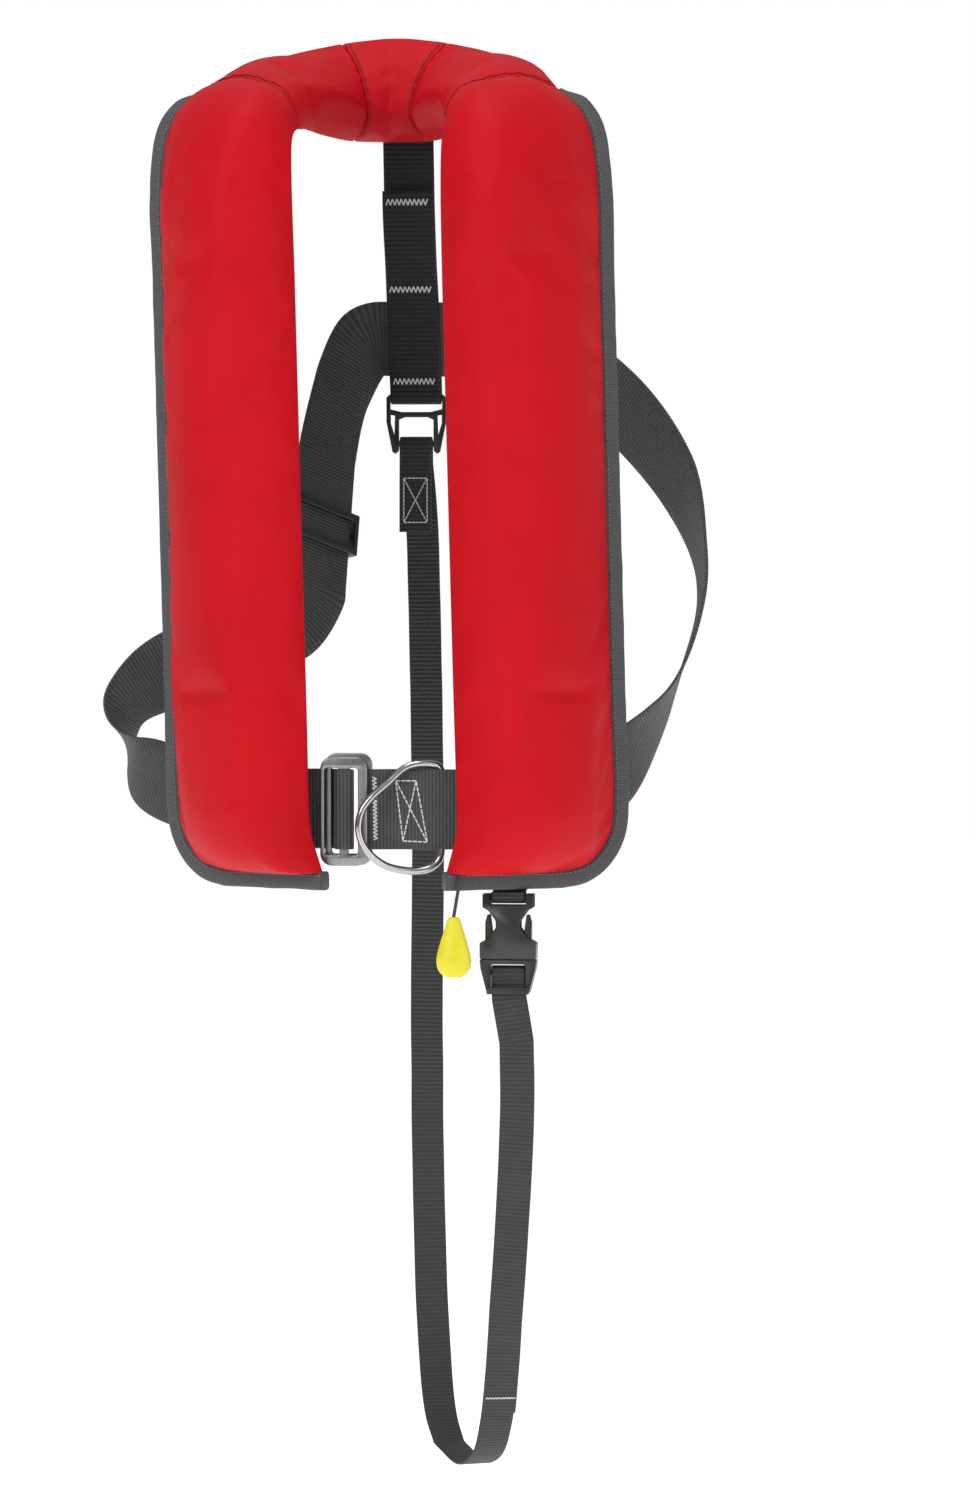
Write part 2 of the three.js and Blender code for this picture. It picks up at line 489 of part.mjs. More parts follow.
const CONNECTOR = { top: ringBarZ + BAR_HALF, bottom: ringBarZ - 35 };
const crotchBarZ = ringBarZ - 28.5;
const slotTop = ringBarZ - BAR_HALF;
const half = STRAP_WIDTH / 2;
const slotHalf = BACK_STRAP_WIDTH / 2 + 2 * GAP;
const legs = [[slotHalf + 2.2, CONNECTOR.top - 2], [slotHalf + 2.2, ringBarZ - 15], [half + 4.6, CONNECTOR.bottom + 1.5],
  [half + 2.8, CONNECTOR.bottom + 0.4], [half + 1.1, CONNECTOR.bottom + 2], [half + 0.8, crotchBarZ - BAR_HALF]];
const connectorOutline = [[-slotHalf - 0.2, CONNECTOR.top], [slotHalf + 0.2, CONNECTOR.top], ...legs,
  ...legs.map(([x, z]) => [-x, z]).reverse()].reverse();
const strapSlot = [[-slotHalf, slotTop], [-slotHalf, slotTop - 5.5], [-9, slotTop - 7.2], [9, slotTop - 7.2],
  [slotHalf, slotTop - 5.5], [slotHalf, slotTop]];
const middleHole = [[-half - 0.8, crotchBarZ + BAR_HALF], [-half - 0.8, slotTop - 12], [-7, slotTop - 10.4],
  [7, slotTop - 10.4], [half + 0.8, slotTop - 12], [half + 0.8, crotchBarZ + BAR_HALF]];
const sideHole = (s) => [[s * (half + 3), slotTop - 9.5], [s * (slotHalf - 0.2), slotTop - 9],
  [s * (slotHalf - 0.2), ringBarZ - 16], [s * (half + 3.4), ringBarZ - 24]];
piece('connector_ring', plate(connectorOutline, [strapSlot, middleHole, sideHole(1), sideHole(-1)], CONNECTOR_THICK)
  .translate(0, ringY, 0), blackPlastic);

// The strap's end is doubled over the ring's lower bar; its long leg hangs behind and sweeps under to the front.
const X = [1, 0, 0];
const END_LENGTH = 54; // length of the sewn-back end
const REAR_LEG = [[2.4, 103, -235, X], [3, 112, -310, X], [3, 124, -410, X], [1, 134, -516, X], [1, 138, -610, X],
  [3, 136, -690, [1, 0.05, 0]], [7, 126, -745, [1, 0.2, 0]], [13, 108, -780, [0.95, 0.35, 0]], [20, 92, -795, [0.88, 0.45, 0]]];
function rearStrap() {
  const end = [0, -15, -30, -END_LENGTH].reverse().map((z) => v3(0, ringY - LOOP_R, crotchBarZ + z));
  const turn = arc(ringY, crotchBarZ, LOOP_R, LOOP_R, 180, 0, 6).map(([y, z]) => v3(0, y, z)).slice(1);
  const route = [[0, ringY + LOOP_R, crotchBarZ - 12, X], ...REAR_LEG];
  const leg = new THREE.CatmullRomCurve3(route.map(([x, y, z]) => v3(x, y, z)), false, 'centripetal');
  const sides = new THREE.CatmullRomCurve3(route.map((row) => v3(...row[3])), false, 'centripetal');
  const steps = 20;
  const path = [...end, ...turn];
  const across = path.map(() => v3(1, 0, 0));
  for (let k = 0; k <= steps; k++) {
    path.push(leg.getPoint(k / steps));
    across.push(sides.getPoint(k / steps));
  }
  return band(path, across, STRAP_WIDTH, STRAP_THICK);
}
piece('crotch_strap_rear', rearStrap(), charcoalWebbing);

// ---- Crotch strap buckle ----
const socketTop = HEM_Z - BUCKLE.top;
const armTop = socketTop - BUCKLE.head;
const collarTop = armTop - BUCKLE.arm;
const collarEnd = collarTop - BUCKLE.collar;
const plugEnd = collarEnd - RUN - BUCKLE.plug;
const halfWidth = BUCKLE.width / 2;
const mirror = (points) => [...points, ...points.map(([x, z]) => [-x, z]).reverse()];
const socketOutline = mirror([[halfWidth - 1.7, socketTop], [halfWidth - 1.7, armTop + 1], [halfWidth - 5.2, armTop - 1],
  [halfWidth - 9.5, armTop - 7], [halfWidth - 9.5, armTop - 11], [halfWidth - 5.2, collarTop + 2],
  [halfWidth, collarTop - 1], [halfWidth, collarEnd]]);
const CAVITY_HALF = halfWidth - 2.45;
const cavityY = 6.4;
const strapBarZ = socketTop - 1.8;
const BAR_SQUARE = 1.5; // half the side of the bars that webbing folds round
const holdR = BAR_SQUARE * Math.SQRT2 + GAP + STRAP_THICK / 2;
const strapHalf = STRAP_WIDTH / 2 + RUN;
piece('buckle_socket', cut(plate(socketOutline, [], BUCKLE.thick),
  block(-CAVITY_HALF, CAVITY_HALF, -cavityY / 2, cavityY / 2, collarEnd - 5, armTop - 1.5),
  block(-strapHalf, strapHalf, -BUCKLE.thick, BUCKLE.thick, strapBarZ - BAR_SQUARE - 3.2, strapBarZ - BAR_SQUARE),
  block(-strapHalf, strapHalf, -BUCKLE.thick, -BAR_SQUARE, strapBarZ - BAR_SQUARE - 1, socketTop + 1),
  block(-strapHalf, strapHalf, BAR_SQUARE, BUCKLE.thick, strapBarZ - BAR_SQUARE - 1, socketTop + 1))
  .translate(BUCKLE.x, BUCKLE.y, 0), blackPlastic);

const plugTop = collarEnd - RUN;
const webBarZ = plugTop - 7.2;
const plugOutline = mirror([[halfWidth, plugTop], [halfWidth - 0.5, plugTop - 5], [halfWidth - 4.1, plugEnd + 1], [halfWidth - 5.1, plugEnd]]);
const blade = block(-2.6, 2.6, -2.4, 2.4, plugTop - 2, collarTop + 4);
const PLUG_HALF_DEPTH = 5;
const webBar = block(-STRAP_WIDTH / 2 - 2, STRAP_WIDTH / 2 + 2, -1.5, 1.5, webBarZ - 1.5, webBarZ + 1.5);
const lipHalf = halfWidth - 4.4;
const lipBar = block(-lipHalf, lipHalf, -PLUG_HALF_DEPTH - 2.5, -PLUG_HALF_DEPTH + 0.1, plugEnd, plugEnd + 4);
const plugBody = cut(plate(plugOutline, [], 2 * PLUG_HALF_DEPTH),
  plate(rounded(0, (plugTop - 2.5 + plugEnd - 6) / 2, STRAP_WIDTH + 2 * RUN, plugTop - 2.5 - plugEnd + 6, 1.5), [], 30));
const lipEnds = [-1, 1].map((s) => block(s > 0 ? lipHalf - 1.7 : -lipHalf, s > 0 ? lipHalf : 1.7 - lipHalf,
  -PLUG_HALF_DEPTH - 2.5, 0, plugEnd, plugEnd + 4));
piece('buckle_plug', join(plugBody, blade, webBar, lipBar, ...lipEnds).translate(BUCKLE.x, BUCKLE.y, 0), blackPlastic);

// Each prong stands on the plug's shoulder and springs inwards when it is pressed.
const PRONG_LINE = [[8.1, plugTop + GAP], [4.5, plugTop + GAP], [4.3, collarTop - 2], [2.8, collarTop + 1],
  [2.8, collarTop + 11], [4.1, armTop - 3.2], [6.1, armTop - 3.2], [7.3, collarTop + 8]];
const prong = (s) => plate(PRONG_LINE.map(([inset, z]) => [s * (halfWidth - inset), z]), [], 5.4);
const PRONGS = [['left_prong', -1], ['right_prong', 1]];
for (const [name, s] of PRONGS) {
  const geometry = prong(s).translate(BUCKLE.x, BUCKLE.y, 0);
  piece(name, toGeometry(toSolid(geometry)), blackPlastic);
}

// The short strap that holds the socket is folded round its bar, and is sewn on behind the lobe.
function socketStrap() {
  const face = lobeFace(BUCKLE.x, HEM_Z);
  const rows = [[-1.5, face + 15.3, 20], [-0.5, face + 14.9, 8], [0, face + 13.5, 0.5], [0, BUCKLE.y + holdR + 1, -1.2]];
  const path = rows.map(([x, y, z]) => v3(BUCKLE.x + x, y, HEM_Z + z));
  const across = [ACROSS.clone(), v3(0.9, 0.4, 0), v3(0.97, 0.2, 0), v3(1, 0, 0)];
  for (const [y, z] of arc(BUCKLE.y, strapBarZ, holdR, holdR, 0, -180, 6)) {
    path.push(v3(BUCKLE.x, y, z));
    across.push(v3(1, 0, 0));
  }
  path.push(v3(BUCKLE.x, BUCKLE.y - holdR, HEM_Z - 1.5));
  across.push(v3(1, 0, 0));
  return band(path, across, STRAP_WIDTH, STRAP_THICK);
}
piece('socket_strap', socketStrap(), charcoalWebbing);

// Front leg of the crotch strap: up from the turn, over the plug's bar, and down in front as the free tail.
const FRONT_LEG = [[22.5, 87, -796.5, [0.86, 0.5, 0]], [38, 60, -803, [0.86, 0.5, 0]], [51, 34, -794, [0.9, 0.42, 0]], [59, 12, -772, [0.95, 0.3, 0]],
  [65, -8, -738, [0.98, 0.2, 0]], [71, -30, -690, X], [77, -49, -630, X], [81, -64, -575, X], [81.5, -70, -535, X]];
const TAIL_SPACE = 3.6;
function frontStrap() {
  const curve = new THREE.CatmullRomCurve3(FRONT_LEG.map(([x, y, z]) => v3(x, y, z)), false, 'centripetal');
  const sides = new THREE.CatmullRomCurve3(FRONT_LEG.map((row) => v3(...row[3])), false, 'centripetal');
  const steps = 22;
  const at = (c) => Array.from({ length: steps + 1 }, (_, k) => c.getPoint(k / steps));
  const leg = at(curve);
  const wide = at(sides);
  const tailFrom = 9; // the tail ends where the leg turns under
  const over = arc(BUCKLE.y, webBarZ, holdR, holdR, 0, 180, 6).map(([y, z]) => v3(BUCKLE.x, y, z));
  const rise1 = v3(BUCKLE.x + 0.3, BUCKLE.y + holdR, plugEnd - 3);
  const fall1 = v3(BUCKLE.x + 0.3, BUCKLE.y - holdR, plugEnd - 3);
  const tail = leg.slice(tailFrom).reverse().map((p, k) => {
    const t = leg[Math.min(steps - k + 1, steps)].clone().sub(leg[Math.max(steps - k - 1, 0)]).normalize();
    const n = v3().crossVectors(wide[steps - k], t).normalize();
    return p.clone().addScaledVector(n, (n.y > 0 ? -1 : 1) * TAIL_SPACE);
  });
  const path = [...leg, rise1, ...over, fall1, ...tail];
  const across = [...wide, v3(1, 0, 0), ...over.map(() => v3(1, 0, 0)), v3(1, 0, 0), ...wide.slice(tailFrom).reverse()];
  return band(path, across, STRAP_WIDTH, STRAP_THICK);
}
piece('crotch_strap_front', frontStrap(), charcoalWebbing);

// ---- Harness belt ----
const BELT_Z = HEM_Z + BELT_RISE;
const FRAME_Y = -87; // front frame; the rear frame lies behind it
const REAR_FRAME_Y = FRAME_Y + 6.2;
const REAR_THICK = 2.4;
const FRONT_BAR = { x: -18.85, half: 2.65 };
const REAR_BAR = { x: -5.5, half: 2.5 };
const RING_BAR = { x: 38, y: REAR_FRAME_Y + 0.8 };

const frontFrame = plate(rounded(-19, BELT_Z - FRAME_DROP, 28, FRAME_HEIGHT, 7, 4), [
  rounded(-26, BELT_Z - FRAME_DROP, 9, FRAME_SLOT, 1.8),
  rounded(-13.4, BELT_Z - FRAME_DROP, 5.6, FRAME_SLOT, 1.8)], FRAME_WIRE);
piece('front_closure_frame', frontFrame.translate(0, FRAME_Y, 0), steel);
const rearFrame = plate(rounded(-17, BELT_Z, 28, FRAME_HEIGHT + 2, 7, 4), [rounded(-17.5, BELT_Z, 19, FRAME_SLOT + 1, 2)], REAR_THICK);
piece('rear_closure_frame', rearFrame.translate(0, REAR_FRAME_Y, 0), steel);

const flat = (points) => points.map(([x, y]) => [x, y, BELT_Z, [0, 0, 1]]);
const backUp = [0, -0.29, 0.957];
const BACK_BELT_Y = mix(79, 95.3, (BACK_BELT_DROP - 92) / 54) - LOOP_R; // midway between the strap's layers

// Right chest end: sewn back round the rear frame's bar, with the ring's bar between its layers. From there the
// belt goes round the right side, through the back strap, and on to the left as far as the slider's stretch.
const ringHold = RING_WIRE / 2 + 0.8 + BELT_THICK / 2;
const barHold = (REAR_THICK / 2) * Math.SQRT2 + GAP + BELT_THICK / 2;
const RIGHT_END = [...flat([[58, RING_BAR.y - ringHold + 1], [48, RING_BAR.y - ringHold + 0.3], [RING_BAR.x, RING_BAR.y - ringHold], [22, REAR_FRAME_Y - 3.4],
  [4, REAR_FRAME_Y - barHold]]), ...flat(arc(REAR_BAR.x, REAR_FRAME_Y, REAR_BAR.half * Math.SQRT2 + GAP + BELT_THICK / 2, barHold, -90, -270, 6)),
...flat([[4, REAR_FRAME_Y + barHold], [22, RING_BAR.y + 2.6], [RING_BAR.x, RING_BAR.y + ringHold], [48, RING_BAR.y + ringHold + 1]])];
const RIGHT_SIDE = [[64, lobeFace(64, BELT_Z) + 17.5, BELT_Z + 1, [0, 0, 1]], [98, lobeFace(98, BELT_Z) + 14.4, BELT_Z + 5, [0, 0, 1]],
  [128, lobeFace(128, BELT_Z) + 18, BELT_Z + 16, [0.05, -0.05, 1]],
  [158, 0, BELT_Z + 52, [0.3, -0.45, 0.85]], [180, 12, BELT_Z + 108, [0.2, -0.95, 0.3]], [181, 32, BELT_Z + 145, [0.2, -0.9, 0.4]],
  [165, 56, BELT_Z + 192, [0.35, -0.6, 0.75]], [128, 78, BELT_Z + 238, [0.3, -0.35, 0.9]], [84, 86, -BACK_BELT_DROP - 10, [0.05, -0.3, 0.95]],
  [44, 85, -BACK_BELT_DROP - 1, backUp], [24, BACK_BELT_Y, -BACK_BELT_DROP, backUp], [8, BACK_BELT_Y, -BACK_BELT_DROP, backUp],
  [-8, BACK_BELT_Y, -BACK_BELT_DROP, backUp], [-24, BACK_BELT_Y, -BACK_BELT_DROP, backUp],
  [-31, BACK_BELT_Y - 0.6, -BACK_BELT_DROP - 4, [-0.08, -0.3, 0.95]], [-43, 77, -BACK_BELT_DROP - 29, [-0.35, -0.45, 0.85]]];
// The straight stretch that the slider travels on.
const STRETCH = { from: v3(-50.5, 62, -188), to: v3(-52.5, 32, -270), across: [-0.6, -0.72, 0.3] };
const stretchRow = (f) => [...STRETCH.from.clone().lerp(STRETCH.to, f).toArray(), STRETCH.across];
const BELT_SPLIT = 0.5;
const LEFT_SIDE = [[-66, 22, -292, [-0.5, -0.55, 0.6]], [-100, 16, -304, [-0.2, -0.3, 0.9]], [-138, 12, -318, [-0.2, -0.3, 0.9]],
  [-166, 2, BELT_Z + 56, [-0.3, -0.8, 0.5]], [-158, -8, BELT_Z + 26, [-0.1, -0.4, 0.9]],
  [-132, lobeFace(-132, BELT_Z) + 12.6, BELT_Z + 11, [0, 0, 1]], [-92, lobeFace(-92, BELT_Z) + 15.8, BELT_Z + 4, [0, 0, 1]],
  [-62, lobeFace(-62, BELT_Z) + 17.7, BELT_Z + 1, [0, 0, 1]]];
const wrap = (half) => half * Math.SQRT2 + GAP + BELT_THICK / 2;
const LEFT_END = flat([[-46, -73.4], [-28, -73.4], [-20, -76.2], [-15.2, -81],
  ...arc(FRONT_BAR.x, FRAME_Y, wrap(FRONT_BAR.half), wrap(FRAME_WIRE / 2), 30, -180, 8),
  [-24.4, -83], [-25, -79.5], [-30, -76.2], [-46, -76.2], [-58, -71]]);

piece('right_belt', routed([...RIGHT_END, ...RIGHT_SIDE, stretchRow(0), stretchRow(0.25), stretchRow(BELT_SPLIT)], BELT_WIDTH, BELT_THICK, 84), charcoalWebbing);
piece('left_belt', routed([stretchRow(BELT_SPLIT + 0.004), stretchRow(0.75), stretchRow(1), ...LEFT_SIDE, ...LEFT_END], BELT_WIDTH, BELT_THICK, 64), charcoalWebbing);

// The slider: two outer bars in front of the belt and one behind it.
const SLIDER = { width: BELT_WIDTH + 9, height: 26, rail: 3.4, bar: 4.5, depth: 7 };
function slider() {
  const half = SLIDER.width / 2;
  const space = BELT_THICK / 2 + RUN;
  const rails = [-1, 1].map((s) => block(s > 0 ? half - SLIDER.rail : -half, s > 0 ? half : -half + SLIDER.rail,
    -SLIDER.depth / 2, SLIDER.depth / 2, -SLIDER.height / 2, SLIDER.height / 2));
  const fronts = [-1, 1].map((s) => block(-half, half, -SLIDER.depth / 2, -space,
    s > 0 ? SLIDER.height / 2 - SLIDER.bar : -SLIDER.height / 2, s > 0 ? SLIDER.height / 2 : -SLIDER.height / 2 + SLIDER.bar));
  const back = block(-half, half, space, SLIDER.depth / 2, -SLIDER.bar / 2, SLIDER.bar / 2);
  return join(rails[0], rails[1], ...fronts, back);
}
const down = STRETCH.to.clone().sub(STRETCH.from).normalize();
const wide = v3(...STRETCH.across);
wide.addScaledVector(down, -wide.dot(down)).normalize();
const sliderGroup = new THREE.Group();
sliderGroup.matrixAutoUpdate = false;
sliderGroup.matrix.makeBasis(wide.clone().negate(), v3().crossVectors(down, wide), down.clone().negate());
sliderGroup.matrix.setPosition(STRETCH.from.clone().lerp(STRETCH.to, 0.52));
jacket.add(sliderGroup);
piece('belt_slider', slider(), blackPlastic, sliderGroup);

// Fabric loops on the back panels that the belt runs through.
const LOOP_X = BUCKLE.x + STRAP_WIDTH / 2 + 17; // clear of the strap that holds the socket
function beltLoop(side) {
  const face = v3(side * LOOP_X, lobeFace(side * LOOP_X, BELT_Z), 0);
  const n = v3(-side * ACROSS.y, ACROSS.x, 0);
  const stand = [[7.2, 38], [9, 34], [17, 29], [17, -29], [9, -34], [7.2, -38]];
  const path = stand.map(([h, z]) => face.clone().addScaledVector(n, h).add(v3(0, 0, BELT_Z + 5 + z)));
  return band(path, path.map(() => v3(ACROSS.x, side * ACROSS.y, 0)), 30, 1.2);
}
piece('right_belt_loop', beltLoop(1), backFabric);
piece('left_belt_loop', beltLoop(-1), backFabric);

// The lifeline ring: a bent wire whose straight side is held in the belt, turned a little out from it.
const RING_LEAN = THREE.MathUtils.degToRad(19.8);
const ringTop = BELT_WIDTH / 2 + RING_WIRE / 2 + 0.9;
const RING_ROUTE = [[0, -18], [0, 0], [0, 18], [1.4, ringTop - 1.6], [6, ringTop], [14, ringTop + 0.2], [22, 24.5], [32, 16], [42, 7.4],
  [47.8, -0.4], [49.8, -10], [47.8, -19], [42, -27], [33.6, -32.8], [24.6, -35.3], [15.6, -36], [7, -34.4], [1.2, -29]];
function lifelineRing() {
  const curve = new THREE.CatmullRomCurve3(RING_ROUTE.map(([u, z]) => v3(-u, 0, z)), true, 'centripetal');
  const steps = 44;
  const rings = [];
  for (let k = 0; k < steps; k++) {
    const p = curve.getPoint(k / steps);
    const side = v3().crossVectors(curve.getTangent(k / steps), v3(0, 1, 0)).normalize();
    rings.push(arc(0, 0, RING_WIRE / 2, RING_WIRE / 2, 0, 315, 7).map(([a, b]) => p.clone().addScaledVector(side, a).add(v3(0, b, 0))));
  }
  return loft(rings, true).rotateZ(RING_LEAN).translate(RING_BAR.x, RING_BAR.y, BELT_Z);
}
piece('lifeline_ring', lifelineRing(), steel);

export default jacket;
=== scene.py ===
"""An inflatable life jacket with a harness: padded cover, webbing, steel fittings, pull handle, buckle."""
import contextlib
import json
import math

import bmesh
import bpy
from mathutils import Matrix, Vector, noise


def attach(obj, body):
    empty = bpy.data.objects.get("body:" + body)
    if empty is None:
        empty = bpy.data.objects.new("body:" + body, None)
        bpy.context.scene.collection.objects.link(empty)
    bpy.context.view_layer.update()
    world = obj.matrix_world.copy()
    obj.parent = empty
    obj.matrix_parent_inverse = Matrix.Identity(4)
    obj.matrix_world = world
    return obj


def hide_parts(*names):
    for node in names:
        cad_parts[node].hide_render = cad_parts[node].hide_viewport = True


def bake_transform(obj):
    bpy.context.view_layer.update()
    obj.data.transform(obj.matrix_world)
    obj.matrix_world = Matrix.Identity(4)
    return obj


bl_info = {
    "name": "Inflatable life jacket",
    "version": (1, 0, 0),
    "blender": (4, 5, 0),
    "location": "3D View > Sidebar > Life jacket",
    "description": "Builds an inflatable life jacket with a harness, piece by piece",
    "category": "Object",
}

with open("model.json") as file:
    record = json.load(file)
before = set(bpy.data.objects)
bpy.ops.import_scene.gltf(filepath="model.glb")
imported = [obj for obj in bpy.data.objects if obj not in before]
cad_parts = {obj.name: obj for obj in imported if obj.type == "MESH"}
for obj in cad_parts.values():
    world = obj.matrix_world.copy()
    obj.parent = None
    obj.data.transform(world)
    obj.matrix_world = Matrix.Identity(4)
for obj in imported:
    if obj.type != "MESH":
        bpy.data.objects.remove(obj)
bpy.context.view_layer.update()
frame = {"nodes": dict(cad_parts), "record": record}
MM = 0.001
ROOT = "jacket"  # the body that every sewn piece belongs to

# ---- Sizes shared with the solids, in millimetres ----
LOBE_DROP, NECK_HALF, CHEST_HALF = 445, 43, 137
CHEST_Y, SIDE_Y, NAPE_Y, NAPE_LEAN = -98, -34, 44, 8
COLLAR_HEIGHT, LOBE_DEPTH, SHOULDER_DEPTH, NAPE_DEPTH = 63, 42, 36, 30
CORNER_R, FLARE, FLARE_RISE, HEM_RISE = 45, 0.19, 40, 55
SWAY, SWAY_PIVOT = 0.027, 190
EDGE_DEPTH, HEM_DEPTH, BACK_WALL, BACK_GAP, BINDING = 4, 12, 3, 1, 10
GAP = 0.3  # clearance around a bar, and between the edge tape and the cover
HEM_Z = -LOBE_DROP
BELT_Z = HEM_Z + 47
BELT_WIDTH, BELT_THICK = 47, 1.8
BACK_BELT_DROP = 118
STRAP_WIDTH, STRAP_THICK = 20, 1.6
FRAME_Y = -87
REAR_FRAME_Y = FRAME_Y + 6.2
BUCKLE_X, BUCKLE_Y = 77, -74
LOBE_SPAN = math.hypot(CHEST_HALF - NECK_HALF, SIDE_Y - CHEST_Y)
ACROSS = Vector(((CHEST_HALF - NECK_HALF) / LOBE_SPAN, (SIDE_Y - CHEST_Y) / LOBE_SPAN, 0))


def length(name, description, default):
    """A length that the panel shows in the scene's unit."""
    return bpy.props.FloatProperty(name=name, description=description, default=default, unit="LENGTH")


def dye(name, description, default):
    """A colour that the panel shows as sRGB hex."""
    return bpy.props.StringProperty(name=name, description=description, default=default)


class LifeJacketSizes(bpy.types.PropertyGroup):
    """Sizes that change the look and not the solids."""

    puff: length("Puff", "Most that the padded cover may swell", 0.003)
    crease: length("Crease depth", "Depth of the soft creases in the cover", 0.0011)
    thread: length("Thread", "Radius of the sewing thread", 0.00042)
    stitch: length("Stitch length", "Length of one stitch", 0.0032)
    tape_proud: length("Tape overlap", "Width of edge tape lying on the cover", 0.0012)


class LifeJacketColours(bpy.types.PropertyGroup):
    """Colours of the finishes, as sRGB."""

    cover: dye("Cover", "Coated nylon of the cover", "#D00A1A")
    tape: dye("Edge tape", "Binding tape along the edges", "#4C4D51")
    webbing: dye("Webbing", "Harness and crotch strap", "#3B3C3C")
    back_strap: dye("Back strap", "Folded strap at the back", "#111212")
    handle: dye("Handle", "Pull handle", "#E2DA2C")
    thread: dye("Thread", "White polyester thread", "#F0F0EA")


# ---- Materials ----
def linear(colour):
    """An sRGB hex colour as linear red, green, blue and alpha."""
    parts = [int(colour[k:k + 2], 16) / 255 for k in (1, 3, 5)]
    return [c / 12.92 if c <= 0.04045 else ((c + 0.055) / 1.055) ** 2.4 for c in parts] + [1.0]


def tint(colour, share):
    """The same hex colour made lighter (over 1) or darker."""
    return "#" + "".join(f"{min(255, round(int(colour[k:k + 2], 16) * share)):02X}" for k in (1, 3, 5))


def node(tree, kind, inputs=None, **settings):
    """Adds a node with its settings; an input takes a value or another node's output."""
    made = tree.nodes.new(kind)
    for name, value in settings.items():
        setattr(made, name, value)
    for name, value in (inputs or {}).items():
        if isinstance(value, bpy.types.NodeSocket):
            tree.links.new(value, made.inputs[name])
        else:
            made.inputs[name].default_value = value
    return made


def calc(tree, operation, a, b=0.0):
    """The result of one sum."""
    return node(tree, "ShaderNodeMath", {0: a, 1: b}, operation=operation).outputs[0]


def weighed(tree, a, share_a, b, share_b):
    """The sum of two values, each times its share."""
    return calc(tree, "ADD", calc(tree, "MULTIPLY", a, share_a), calc(tree, "MULTIPLY", b, share_b))


def coords(tree, kind="Object"):
    """Places on the object in metres, or as UV in the millimetres of a band or a cloth."""
    return node(tree, "ShaderNodeTexCoord").outputs[kind]


def speckle(tree, scale, detail, place=None, **more):
    """The value of a noise over the object."""
    inputs = {"Vector": place or coords(tree), "Scale": scale, "Detail": detail, **more}
    return node(tree, "ShaderNodeTexNoise", inputs).outputs[0]


def shade(tree, fac, dark, light):
    """A colour between two, by a height or a noise."""
    mixed = node(tree, "ShaderNodeMix", {0: fac, 6: linear(dark), 7: linear(light)}, data_type="RGBA")
    return mixed.outputs[2]


def shaded(tree, fac, colour, dark, light):
    """A colour between a darker and a lighter share of itself."""
    return shade(tree, fac, tint(colour, dark), tint(colour, light))


def blank(name, roughness, metallic=0.0, sockets=None):
    """A material with only a Principled shader, and its node tree."""
    material = bpy.data.materials.new(name)
    material.use_nodes = True
    inputs = material.node_tree.nodes["Principled BSDF"].inputs
    for socket, value in {"Roughness": roughness, "Metallic": metallic, **(sockets or {})}.items():
        inputs[socket].default_value = value
    return material, material.node_tree


def wired(tree, colour, rough=None, bumps=()):
    """Wires a colour, a roughness (source, low, high) and bumps (height, strength, distance)."""
    shader = tree.nodes["Principled BSDF"]
    tree.links.new(colour, shader.inputs["Base Color"])
    if rough:
        spread = node(tree, "ShaderNodeMapRange", dict(zip((0, 3, 4), rough)))
        tree.links.new(spread.outputs[0], shader.inputs["Roughness"])
    below = {}
    for height, strength, distance in bumps:
        inputs = {"Height": height, "Strength": strength, "Distance": distance, **below}
        below = {"Normal": node(tree, "ShaderNodeBump", inputs).outputs[0]}
    if bumps:
        tree.links.new(below["Normal"], shader.inputs["Normal"])


def coated_nylon(name, colour, thread_mm=1.3):
    """Plain-woven nylon with a coating on its back: soft, slightly shiny cloth with a fine even weave."""
    material, tree = blank(name, 0.6, sockets={"Specular IOR Level": 0.13})
    split = node(tree, "ShaderNodeSeparateXYZ", {0: coords(tree, "UV")})
    turn = math.tau / thread_mm  # real threads are about 0.5 mm apart, drawn coarser so that they show
    warp, weft = (calc(tree, "SINE", calc(tree, "MULTIPLY", split.outputs[k], turn)) for k in (0, 1))
    weave = calc(tree, "MULTIPLY", warp, weft)
    worn = speckle(tree, 9.0, 4.0, Roughness=0.6)
    drawn_out = node(tree, "ShaderNodeMapping", {"Vector": coords(tree), "Scale": (1.0, 1.0, 0.35)})
    folds = speckle(tree, 38.0, 3.0, drawn_out.outputs[0], Distortion=1.2)
    # The colour mixes a random tone from the worn noise with the weave's height: the weave's raised points
    # are painted lighter and its low points darker, a painted highlight and painted shade.
    fac = weighed(tree, worn, 0.7, weave, 0.16)
    wired(tree, shaded(tree, fac, colour, 0.84, 1.08), (worn, 0.44, 0.62),
          ((weave, 0.22, 0.00022), (folds, 0.35, 0.0016)))
    return material


def ribbed_webbing(name, colour, rib_mm, warp_mm, rib_shade_contrast):
    """Woven polyester webbing: ribs across the band, crossed by finer warp threads, with a dull sheen; the
    rib tops are painted lighter and the grooves darker, as painted highlight and painted shade.
    """
    material, tree = blank(name, 0.62, sockets={"Sheen Weight": 0.05, "Sheen Roughness": 0.5})
    split = node(tree, "ShaderNodeSeparateXYZ", {0: coords(tree, "UV")})
    rib = calc(tree, "SINE", calc(tree, "MULTIPLY", split.outputs[1], math.tau / rib_mm))
    row = calc(tree, "FLOOR", calc(tree, "MULTIPLY", split.outputs[1], 2 / rib_mm))
    warp = calc(tree, "SINE", weighed(tree, split.outputs[0], math.tau / warp_mm, row, math.pi / 2))
    height = calc(tree, "ADD", weighed(tree, rib, 0.36, warp, 0.14), 0.5)
    # The colour follows the rib height, plus a little noise: rib tops painted lighter and grooves painted
    # darker, a painted highlight and painted shade whose strength the last argument sets.
    fac = weighed(tree, height, 0.75, speckle(tree, 60.0, 4.0), 0.3)
    wired(tree, shaded(tree, fac, colour, 1 - rib_shade_contrast, 1 + rib_shade_contrast * 0.6), bumps=((height, 0.8, 0.0006),))
    return material


